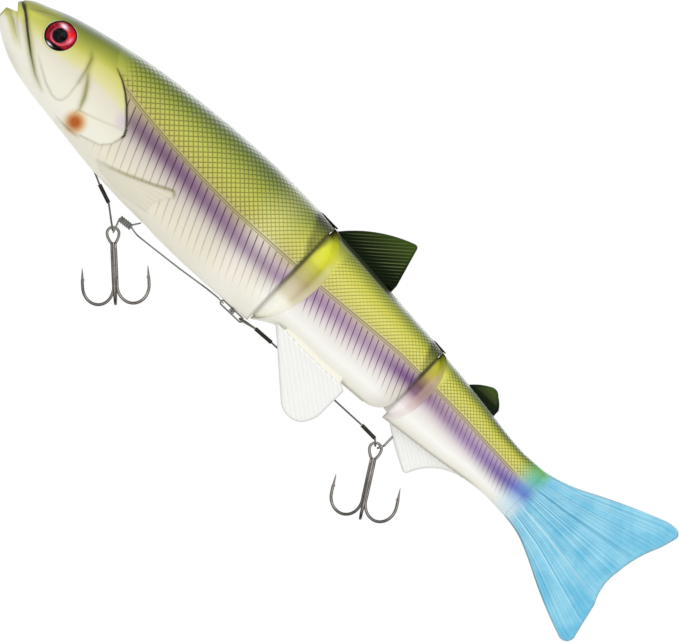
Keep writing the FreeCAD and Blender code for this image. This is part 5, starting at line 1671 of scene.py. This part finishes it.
class SWIMBAIT_OT_fins(bpy.types.Operator):
    """Dorsal, adipose, pelvic and anal fins with moulded rays"""

    bl_idname = "swimbait.fins"
    bl_label = "Fins"

    def execute(self, context):
        finishes = {"dark_fin": dark_fin_finish(), "clear_fin": clear_fin_finish()}
        for node, (body, corners, place, halves, slant, pitch, slot, way, side) in FINS.items():
            points, faces, marks = self.grow(corners, place, halves, math.radians(slant), pitch, way)
            if side:
                points = self.splayed(points, place[2], side)
            made = piece(node + "_moulding", points, faces, marks)
            made.data.materials.append(finishes[slot])
            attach(made, body)
            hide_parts(node)
        return {"FINISHED"}

    def grow(self, corners, place, halves, lean, pitch, way):
        """A blade in the middle plane, thinner from its root to its tip, with rays on it."""
        x0, length, z0, height = place
        outline = fin_outline(corners, x0, length, z0, height, FIN_STEP)
        root, tip = halves

        def thickness(x, z, gap):
            share = np.clip(way * (z - z0) / abs(height), 0, 1)
            half = root + (tip - root) * share
            phase = (z * math.cos(lean) - x * math.sin(lean)) / pitch
            ridge = RAY_HEIGHT * np.sqrt(zigzag(phase)) * ease(gap, 0.3, 1.0)
            marks = {"ray": phase, "edge": gap, "up": share, "height": z, "along": x}
            return half * rounded(gap, FIN_ROUNDING) + ridge - RAY_SINK, marks

        return make_blade(outline, FIN_STEP, thickness, np.vstack([outline, outline[:1]]))

    def splayed(self, points, z0, side):
        """A fin turned outwards about its root and moved to its side."""
        splay = side * PELVIC_SPLAY
        y, z = points[:, 1], points[:, 2] - z0
        return np.stack([points[:, 0], y * math.cos(splay) - z * math.sin(splay) + side * PELVIC_SIDE,
                         y * math.sin(splay) + z * math.cos(splay) + z0], axis=1)


def dark_fin_finish():
    """Green-black plastic with thin pale rays, greener towards the tip."""
    made, tree, shader = finish_of("dark_fin_plastic", roughness=0.45, ior=1.1)
    phase = marked(tree, "ray")
    up = marked(tree, "up")
    shade = mix(tree, spread(tree, up, 0.15, 1.0), tint(10, 22, 6), colours().fin_green)
    each = streaks_along(tree, maths(tree, "FLOOR", phase), 7.3)
    thin = times(tree, spread(tree, waves(tree, phase), 0.55, 0.95),
                 spread(tree, each, 0.3, 0.7, 0.35, 1.0), spread(tree, up, 0.04, 0.3, 0.1, 0.75),
                 spread(tree, marked(tree, "edge"), 0.3, 1.1))
    shade = mix(tree, thin, shade, tint(112, 122, 78))
    wire(tree, shade, shader.inputs["Base Color"])
    grain = fin_relief(tree, shader, use_group(tree, "Fin rays", Phase=phase, Width=0.55))
    wire(tree, maths(tree, "MULTIPLY_ADD", grain["Rubbed"], 0.15, 0.35), shader.inputs["Roughness"])
    return made


def fin_relief(tree, shader, rays):
    """Rays and a little grain into the shader's normal, and the outputs of the grain."""
    grain = use_group(tree, "Surface grain", Fineness=1800.0)
    height = maths(tree, "MULTIPLY_ADD", grain["Height"], 0.1, rays["Ridges"])
    bump(tree, shader, height, 0.0001, 0.5)
    return grain


def clear_fin_finish():
    """Milky plastic with faint rays, and grey where it meets the belly."""
    made, tree, shader = finish_of("clear_fin_plastic", roughness=0.4, ior=1.3)
    rays = use_group(tree, "Fin rays", Phase=marked(tree, "ray"), Width=0.4)
    shade = mix(tree, times(tree, rays["Lines"], 0.5), colours().fin_clear, tint(224, 224, 218))
    edge = times(tree, spread(tree, marked(tree, "edge"), 0.8, 0.2), 0.5)
    shade = mix(tree, edge, shade, tint(228, 228, 222))
    x = marked(tree, "along")
    root = along_curve(tree, x, BELLY_LEVEL, -16.0, -8.0)
    over = maths(tree, "SUBTRACT", marked(tree, "height"), root)
    shade = mix(tree, spread(tree, over, -0.1, 0.5), shade, colours().belly)
    broken = streaks_along(tree, times(tree, x, 0.9), 1.0)
    line = times(tree, spread(tree, maths(tree, "ABSOLUTE", over), 0.42, 0.05),
                 spread(tree, broken, 0.35, 0.6, 0.1, 0.4))
    shade = mix(tree, line, shade, tint(168, 166, 154))
    wire(tree, shade, shader.inputs["Base Color"])
    solid = maths(tree, "MULTIPLY_ADD", rays["Lines"], 0.08, 0.84)
    solid = maths(tree, "MAXIMUM", solid, spread(tree, over, -0.8, -0.2, 0.84, 1.0))
    wire(tree, solid, shader.inputs["Alpha"])
    fin_relief(tree, shader, rays)
    return made


# The tail's outline: where its corners start, its length and its half height.
TAIL_FRONT = 206.8
TAIL_LENGTH = 41.7
TAIL_HEIGHT = 23.2
TAIL_EDGE_STEP = 0.4
TAIL_STEP = 0.42
TAIL_ROUNDING = 1.6            # how far in from its free edge the tail is rounded
TAIL_RAY_DEPTH = 0.13
LIFT_END = 216.0
# Height of the fan's middle behind the root, the reach of its rays there, and half the thickness
# of the plate that the root becomes, all by X.
FAN_CENTRE = ((222, -0.1), (248.5, -0.3))
FAN_REACH = ((219.5, 12.7), (243, 23.3), (249, 24.6))
PLATE_THICKNESS = ((206.3, 2.4), (216, 1.6), (249, 0.6))


class SWIMBAIT_OT_tail(bpy.types.Operator):
    """Soft blue tail with fanned rays"""

    bl_idname = "swimbait.tail"
    bl_label = "Soft tail"

    def execute(self, context):
        proud = millimetres(sizes().skin_proud)
        half, middle, rise, drop = (float(value) for value in REAR.oval(np.float64(STUMP)))
        outline = self.outline(middle + rise + proud, middle - drop - proud)
        fan_centre = ((TAIL_FRONT, middle + (rise - drop) / 2), *FAN_CENTRE)
        fan_reach = ((TAIL_START, (rise + drop) / 2 + proud), *FAN_REACH)
        rays = sizes().tail_rays

        def thickness(x, z, gap):
            across = (z - level(x, fan_centre)) / level(x, fan_reach)
            turned = across + 0.05 * np.sin(across * 5.0)
            phase = turned * rays / 2 + 0.35 * np.sin(turned * 23.0) + 0.2 * np.sin(turned * 41.0)
            oval = (half + proud) * np.sqrt(np.clip(1 - across ** 2, 0, 1))
            plate = level(x, PLATE_THICKNESS) * rounded(gap, TAIL_ROUNDING)
            share = ease(x, TAIL_START, 219.0)
            sheet = oval * (1 - share) + plate * share
            depth = TAIL_RAY_DEPTH * ease(x, 207.0, 212.0) * ease(gap, 0.4, TAIL_ROUNDING)
            sheet = sheet + depth * (zigzag(phase) ** 0.5 - 1) + 0.3 * depth * (zigzag(phase * 3) - 1)
            return np.maximum(sheet, 0.05), {"ray": phase, "edge": gap, "along": x, "height": z}

        free = outline[outline[:, 0] > SKIN_END]
        points, faces, marks = make_blade(outline, TAIL_STEP, thickness, free, TAIL_START)
        made = piece("soft_tail", points, faces, marks)
        made.data.materials.append(tail_rubber())
        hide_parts("tail_fin")
        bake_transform(made)
        return {"FINISHED"}

    def outline(self, top, bottom):
        """The tail's edge, whose root meets the painted skin of the rear section flush."""
        edge = fin_outline(TAIL_CORNERS, TAIL_FRONT, TAIL_LENGTH, 0.0, TAIL_HEIGHT, TAIL_EDGE_STEP)
        edge[:, 0] = np.where(edge[:, 0] < TAIL_FRONT + 0.01, TAIL_START, edge[:, 0])
        root = edge[edge[:, 0] < TAIL_START + 0.01, 1]
        lift = np.where(edge[:, 1] > 0, top - root.max(), bottom - root.min())
        fading = 1 - ease(edge[:, 0], TAIL_START, LIFT_END)
        edge[:, 1] += lift * fading * (np.abs(edge[:, 1]) > 4.0)
        return edge


def tail_rubber():
    """Blue soft plastic: uneven darker rays, the body's colours at its root, darker upper edge."""
    made, tree, shader = finish_of("tail_rubber", roughness=0.42, coat=0.05, ior=1.35)
    x = marked(tree, "along")
    z = marked(tree, "height")
    edge = marked(tree, "edge")
    phase = marked(tree, "ray")
    rays = use_group(tree, "Fin rays", Phase=phase, Width=0.45)
    fine = use_group(tree, "Fin rays", Phase=times(tree, phase, 3.1), Width=0.6)
    place = add(tree, "CombineXYZ", {"X": x, "Z": z})
    blotch = add(tree, "TexNoise", {"Vector": place, "Scale": 0.12, "Detail": 3.0})
    shade = mix(tree, spread(tree, blotch, 0.35, 0.68), colours().tail, tint(100, 190, 226))
    broad = times(tree, spread(tree, streaks_along(tree, phase, 0.8), 0.45, 0.7),
                  spread(tree, x, 246.0, 208.0, 0.1, 0.35))
    shade = mix(tree, broad, shade, tint(84, 168, 204))
    dark = times(tree, rays["Lines"], spread(tree, x, 244.0, 209.0, 0.3, 0.75),
                 spread(tree, edge, 0.3, 2.0))
    shade = mix(tree, dark, shade, tint(62, 138, 172))
    shade = mix(tree, times(tree, fine["Lines"], 0.35), shade, tint(88, 166, 200))
    thin = times(tree, spread(tree, streaks_along(tree, phase, 3.1), 0.52, 0.62),
                 spread(tree, x, 246.0, 212.0, 0.15, 0.75))
    shade = mix(tree, thin, shade, tint(196, 236, 248))
    root = use_group(tree, "Tail root paint", Height=z)["Color"]
    shade = mix(tree, spread(tree, x, 211.0, 206.6), shade, root)
    far = times(tree, spread(tree, edge, 0.9, 0.1), spread(tree, x, 232.0, 242.0), 0.5)
    shade = mix(tree, far, shade, tint(150, 190, 204))
    near = times(tree, spread(tree, edge, 0.6, 0.15), spread(tree, x, 238.0, 226.0, 0.0, 0.6))
    shade = mix(tree, near, shade, tint(78, 108, 110))
    wire(tree, shade, shader.inputs["Base Color"])
    height = maths(tree, "MULTIPLY_ADD", fine["Ridges"], 0.5, rays["Ridges"])
    bump(tree, shader, height, 0.00012, 0.5)
    return made


# -------- lips over the joints
# Each lip's body, the section that it stands on and the one behind it, the joint, length and width.
LIPS = {
    "front_back_lip": ("head_section", FRONT, MID, FRONT_PIVOT, 6.2, 3.8),
    "rear_back_lip": ("mid_section", MID, REAR, REAR_PIVOT, 4.4, 2.8),
}
LIP_ROWS = 40
LIP_COLUMNS = 25
LIP_OVERHANG = 0.9
LIP_BASE = 0.16
LIP_RISE = 0.34
LIP_SINK = 0.15
LIP_THICKNESS = 0.12
LIP_ROOM = 0.05
PEG_RADIUS = 0.22
PEG_SIDES = 12
PEG_DEPTHS = (0.05, 0.9, 1.9)


class SWIMBAIT_OT_lips(bpy.types.Operator):
    """Dark pointed lips that cover the joints along the back"""

    bl_idname = "swimbait.lips"
    bl_label = "Back lips"

    def execute(self, context):
        finish = rubbed_finish("lip_paint", 1500.0, 0.00005, tint(10, 13, 4), tint(20, 25, 9),
                               roughness=0.8, ior=1.05)
        for name, (body, section, behind, pivot, reach, width) in LIPS.items():
            made = piece(name, *self.shape(section, behind, pivot, reach, width))
            made.data.materials.append(finish)
            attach(made, body)
        return {"FINISHED"}

    def shape(self, section, behind, pivot, reach, width):
        """A pointed plate over the joint, and the round peg on its axis that closes the slit."""
        rows, count = LIP_ROWS, LIP_COLUMNS
        start = pivot - reach
        end = pivot + LIP_OVERHANG
        t = np.linspace(0, 1, rows)[:, None]
        across = np.linspace(-1, 1, count)[None, :]
        x = (start + (end - start) * t) * np.ones((1, count))
        y = width * (0.04 + 0.96 * t ** 0.7) * across * (1 - 0.5 * ease(x, pivot - 0.2, pivot + 0.1))
        half, middle, rise, _ = section.oval(x)
        crown = middle + rise * np.sqrt(np.clip(1 - (y / half) ** 2, 0, 1))
        edge = np.sqrt(np.clip(1 - across ** 4, 0, 1)) * np.sqrt(np.clip(t * 6, 0, 1))
        top = crown + LIP_BASE + LIP_RISE * edge
        # past the rim it clears the back of the section behind, which turns under it
        _, middle_behind, rise_behind, _ = behind.oval(np.float64(pivot))
        proud = millimetres(sizes().skin_proud + sizes().scale_height)
        clear = float(middle_behind + rise_behind) + proud + LIP_ROOM
        over = x > pivot - 0.02
        top = np.where(over, np.maximum(top, clear + LIP_THICKNESS), top)
        low = np.where(over, clear, crown - LIP_SINK)
        points = np.concatenate([np.stack([x, y, z], axis=-1).reshape(-1, 3) for z in (top, low)])
        i, j = np.meshgrid(np.arange(rows - 1), np.arange(count - 1), indexing="ij")
        corner = i * count + j
        quad = np.stack([corner, corner + count, corner + count + 1, corner + 1], axis=-1).reshape(-1, 4)
        below = quad[:, ::-1] + rows * count
        rim = [i * count for i in range(rows)] + [(rows - 1) * count + j for j in range(1, count)]
        rim += [i * count + count - 1 for i in range(rows - 2, -1, -1)] + list(range(count - 2, 0, -1))
        wall = [(b, a, a + rows * count, b + rows * count) for a, b in zip(rim, rim[1:] + rim[:1])]
        peg = np.array([(pivot, 0.0, crown.max() - down) for down in PEG_DEPTHS])
        return gathered([(points, [*quad.tolist(), *below.tolist(), *wall]),
                         tube((peg, np.full(len(peg), PEG_RADIUS)), PEG_SIDES)])


# -------- rig and hooks
class SWIMBAIT_OT_rig(bpy.types.Operator):
    """Finishes of the wires, crimps, links, knot and line"""

    bl_idname = "swimbait.rig"
    bl_label = "Rig"

    def execute(self, context):
        leader = drawn_steel("leader_steel", colours().steel, 0.34, 0.5)
        crimp = drawn_steel("crimp_steel", tint(58, 54, 50), 0.42)
        links = drawn_steel("link_steel", tint(150, 146, 140), 0.28)
        line = rubbed_finish("stinger_line", 3000.0, 0.00005, colours().line, tint(70, 70, 66),
                             roughness=0.4, coat=0.3)
        for finish, nodes in (
                (leader, ("front_leader_wire", "front_leader_loop", "rear_leader_wire",
                          "rear_leader_front_loop", "rear_leader_loop")),
                (crimp, ("front_leader_crimp", "rear_leader_front_crimp", "rear_leader_crimp")),
                (links, ("belly_hanger", "stinger_link", "leader_link", "rear_hanger")),
                (line, ("line_knot", "stinger_loop", "stinger_line"))):
            for node in nodes:
                dress(node, finish)
        return {"FINISHED"}


# A hook's wire, its distance from the treble's axis, the height of its bend and the bend's radius.
WIRE = 0.5
SHANK = 0.587
BEND = -15.5
GAPE = 5.4
HOOK_SIDES = 16
# The eye's wire, its round top, its foot, and how much higher than it the single hook starts.
EYE_WIRE = 0.42
EYE_TOP = 1.78
EYE_FOOT = -3.3
SINGLE_START = 0.5
EYE_WIRE_SIDES = 12
DOUBLE_AZIMUTHS = (30, 150)
SINGLE_AZIMUTH = -90
# Each treble's own axis, and how far it leans at rest.
HOOKS = (("front_treble", (65.6, 0, -28.022), 46), ("rear_treble", (165.7, 0, -20.872), 31))


class SWIMBAIT_OT_trebles(bpy.types.Operator):
    """The two treble hooks: pear-shaped eyes, three bends and their barbs"""

    bl_idname = "swimbait.trebles"
    bl_label = "Treble hooks"

    def execute(self, context):
        steel = drawn_steel("hook_steel", tint(140, 134, 128), 0.24, 0.08)
        double = [tube(pear_path(), EYE_WIRE_SIDES)]
        for azimuth in DOUBLE_AZIMUTHS:
            double += [tube(path, HOOK_SIDES) for path in hook_paths(azimuth, EYE_FOOT)]
        single = [tube(path, HOOK_SIDES) for path in hook_paths(SINGLE_AZIMUTH, EYE_FOOT + SINGLE_START)]
        for treble, place, rest in HOOKS:
            lean = math.radians(rest)
            for part, tubes in (("_double", double), ("_single", single)):
                points, faces = gathered(tubes)
                x = points[:, 0] * math.cos(lean) - points[:, 2] * math.sin(lean)
                z = points[:, 0] * math.sin(lean) + points[:, 2] * math.cos(lean)
                points = np.stack([x, points[:, 1], z], axis=1) + np.array(place)
                made = piece(treble + part + "_wires", points, faces)
                made.data.materials.append(steel)
                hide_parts(treble + part)
                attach(made, treble)
        return {"FINISHED"}


def pear_path():
    """Middle line and radii of the eye: up one side, round the top and down the other."""
    side = [(-0.5, 0.29, EYE_FOOT - 2.0), (-0.5, 0.29, EYE_FOOT), (-0.74, 0.18, -2.75),
            (-1.18, 0.06, -2.0), (-1.62, 0.0, -1.0)]
    path = smooth_line(side, 6)
    leans = [math.radians(turn) for turn in range(0, 181, 12)]
    top = [(-EYE_TOP * math.cos(lean), 0.0, EYE_TOP * math.sin(lean)) for lean in leans]
    whole = [*path, *top, *[(-x, y, z) for x, y, z in path[::-1]]]
    return np.array(whole), np.full(len(whole), EYE_WIRE)


def smooth_line(corners, steps):
    """A curve through corners, each stretch split in steps."""
    corners = np.array([corners[0], *corners, corners[-1]], float)
    line = []
    for a, b, c, d in zip(corners[:-3], corners[1:-2], corners[2:-1], corners[3:]):
        for step in range(steps):
            t = step / steps
            line.append(tuple(0.5 * (2 * b + (c - a) * t + (2 * a - 5 * b + 4 * c - d) * t ** 2
                                     + (3 * b - a - 3 * c + d) * t ** 3)))
    line.append(tuple(corners[-2]))
    return line


def hook_paths(azimuth, top):
    """Middle lines and radii of one hook's wire and of its barb."""
    wire_line = [(SHANK, top + 0.12, 0.3), (SHANK, top, WIRE - 0.05), (SHANK, top - 2.0, WIRE)]
    wire_line += [(SHANK, z, WIRE) for z in (-9.0, -12.0, -14.0)]
    for turn in range(180, 361, 8):
        lean = math.radians(turn)
        across = SHANK + GAPE + GAPE * math.cos(lean)
        wire_line.append((across, BEND + GAPE * math.sin(lean), WIRE - 0.04))
    outer = SHANK + 2 * GAPE
    wire_line += [(outer, -14.6, 0.46), (outer, -13.5, 0.44), (outer - 0.05, -12.9, 0.36),
                  (outer - 0.1, -11.6, 0.26), (outer - 0.12, -10.4, 0.14), (outer - 0.12, -9.75, 0.03)]
    barb = [(outer - 0.1, -12.4, 0.24), (outer - 0.4, -13.0, 0.17), (outer - 0.82, -13.8, 0.02)]
    lean = math.radians(azimuth)
    paths = []
    for line in (wire_line, barb):
        points = np.array([(u * math.cos(lean), u * math.sin(lean), z) for u, z, _ in line])
        paths.append((points, np.array([r for _, _, r in line])))
    return paths


def tube(path, sides):
    """A closed round tube along a middle line, its radius given at each place."""
    line, radii = path
    along = np.gradient(line, axis=0)
    along /= np.linalg.norm(along, axis=1, keepdims=True)
    across = np.cross(along[0], (0.31, 0.86, 0.4))
    points = []
    for spot, way, radius in zip(line, along, radii):
        across = across - way * (across @ way)
        across = across / np.linalg.norm(across)
        other = np.cross(way, across)
        for step in range(sides):
            turn = 2 * math.pi * step / sides
            points.append(spot + radius * (math.cos(turn) * across + math.sin(turn) * other))
    count = len(line)
    faces = []
    for row in range(count - 1):
        for step in range(sides):
            after = (step + 1) % sides
            faces.append((row * sides + step, row * sides + after, (row + 1) * sides + after,
                          (row + 1) * sides + step))
    faces.append(tuple(range(sides))[::-1])
    faces.append(tuple((count - 1) * sides + step for step in range(sides)))
    return np.array(points), faces


def gathered(parts):
    """Several closed meshes as one list of points and one of faces."""
    points, faces = [], []
    start = 0
    for spots, sides in parts:
        points.append(spots)
        faces += [tuple(corner + start for corner in side) for side in sides]
        start += len(spots)
    return np.vstack(points), faces


class SWIMBAIT_PT_panel(bpy.types.Panel):
    """The swimbait's sizes, colours and makers"""

    bl_label = "Swimbait"
    bl_idname = "SWIMBAIT_PT_panel"
    bl_space_type = "VIEW_3D"
    bl_region_type = "UI"
    bl_category = "Swimbait"

    def draw(self, context):
        for group in (context.scene.swimbait_sizes, context.scene.swimbait_colours):
            box = self.layout.box()
            for name in group.bl_rna.properties.keys():
                if name not in ("rna_type", "name"):
                    box.prop(group, name)
        for maker in OPERATORS:
            self.layout.operator(maker.bl_idname)


OPERATORS = (SWIMBAIT_OT_stage, SWIMBAIT_OT_shells, SWIMBAIT_OT_skins, SWIMBAIT_OT_eyes, SWIMBAIT_OT_fins,
             SWIMBAIT_OT_tail, SWIMBAIT_OT_lips, SWIMBAIT_OT_rig, SWIMBAIT_OT_trebles)
CLASSES = (SwimbaitSizes, SwimbaitColours, *OPERATORS, SWIMBAIT_PT_panel)


def register():
    for kind in CLASSES:
        bpy.utils.register_class(kind)
    bpy.types.Scene.swimbait_sizes = PointerProperty(type=SwimbaitSizes)
    bpy.types.Scene.swimbait_colours = PointerProperty(type=SwimbaitColours)


def unregister():
    del bpy.types.Scene.swimbait_colours
    del bpy.types.Scene.swimbait_sizes
    for kind in reversed(CLASSES):
        bpy.utils.unregister_class(kind)


def main():
    register()
    make_groups()
    bpy.ops.swimbait.stage()
    bpy.ops.swimbait.shells()
    bpy.ops.swimbait.skins()
    bpy.ops.swimbait.eyes()
    bpy.ops.swimbait.fins()
    bpy.ops.swimbait.tail()
    bpy.ops.swimbait.lips()
    bpy.ops.swimbait.rig()
    bpy.ops.swimbait.trebles()


if __name__ == "__main__":
    main()
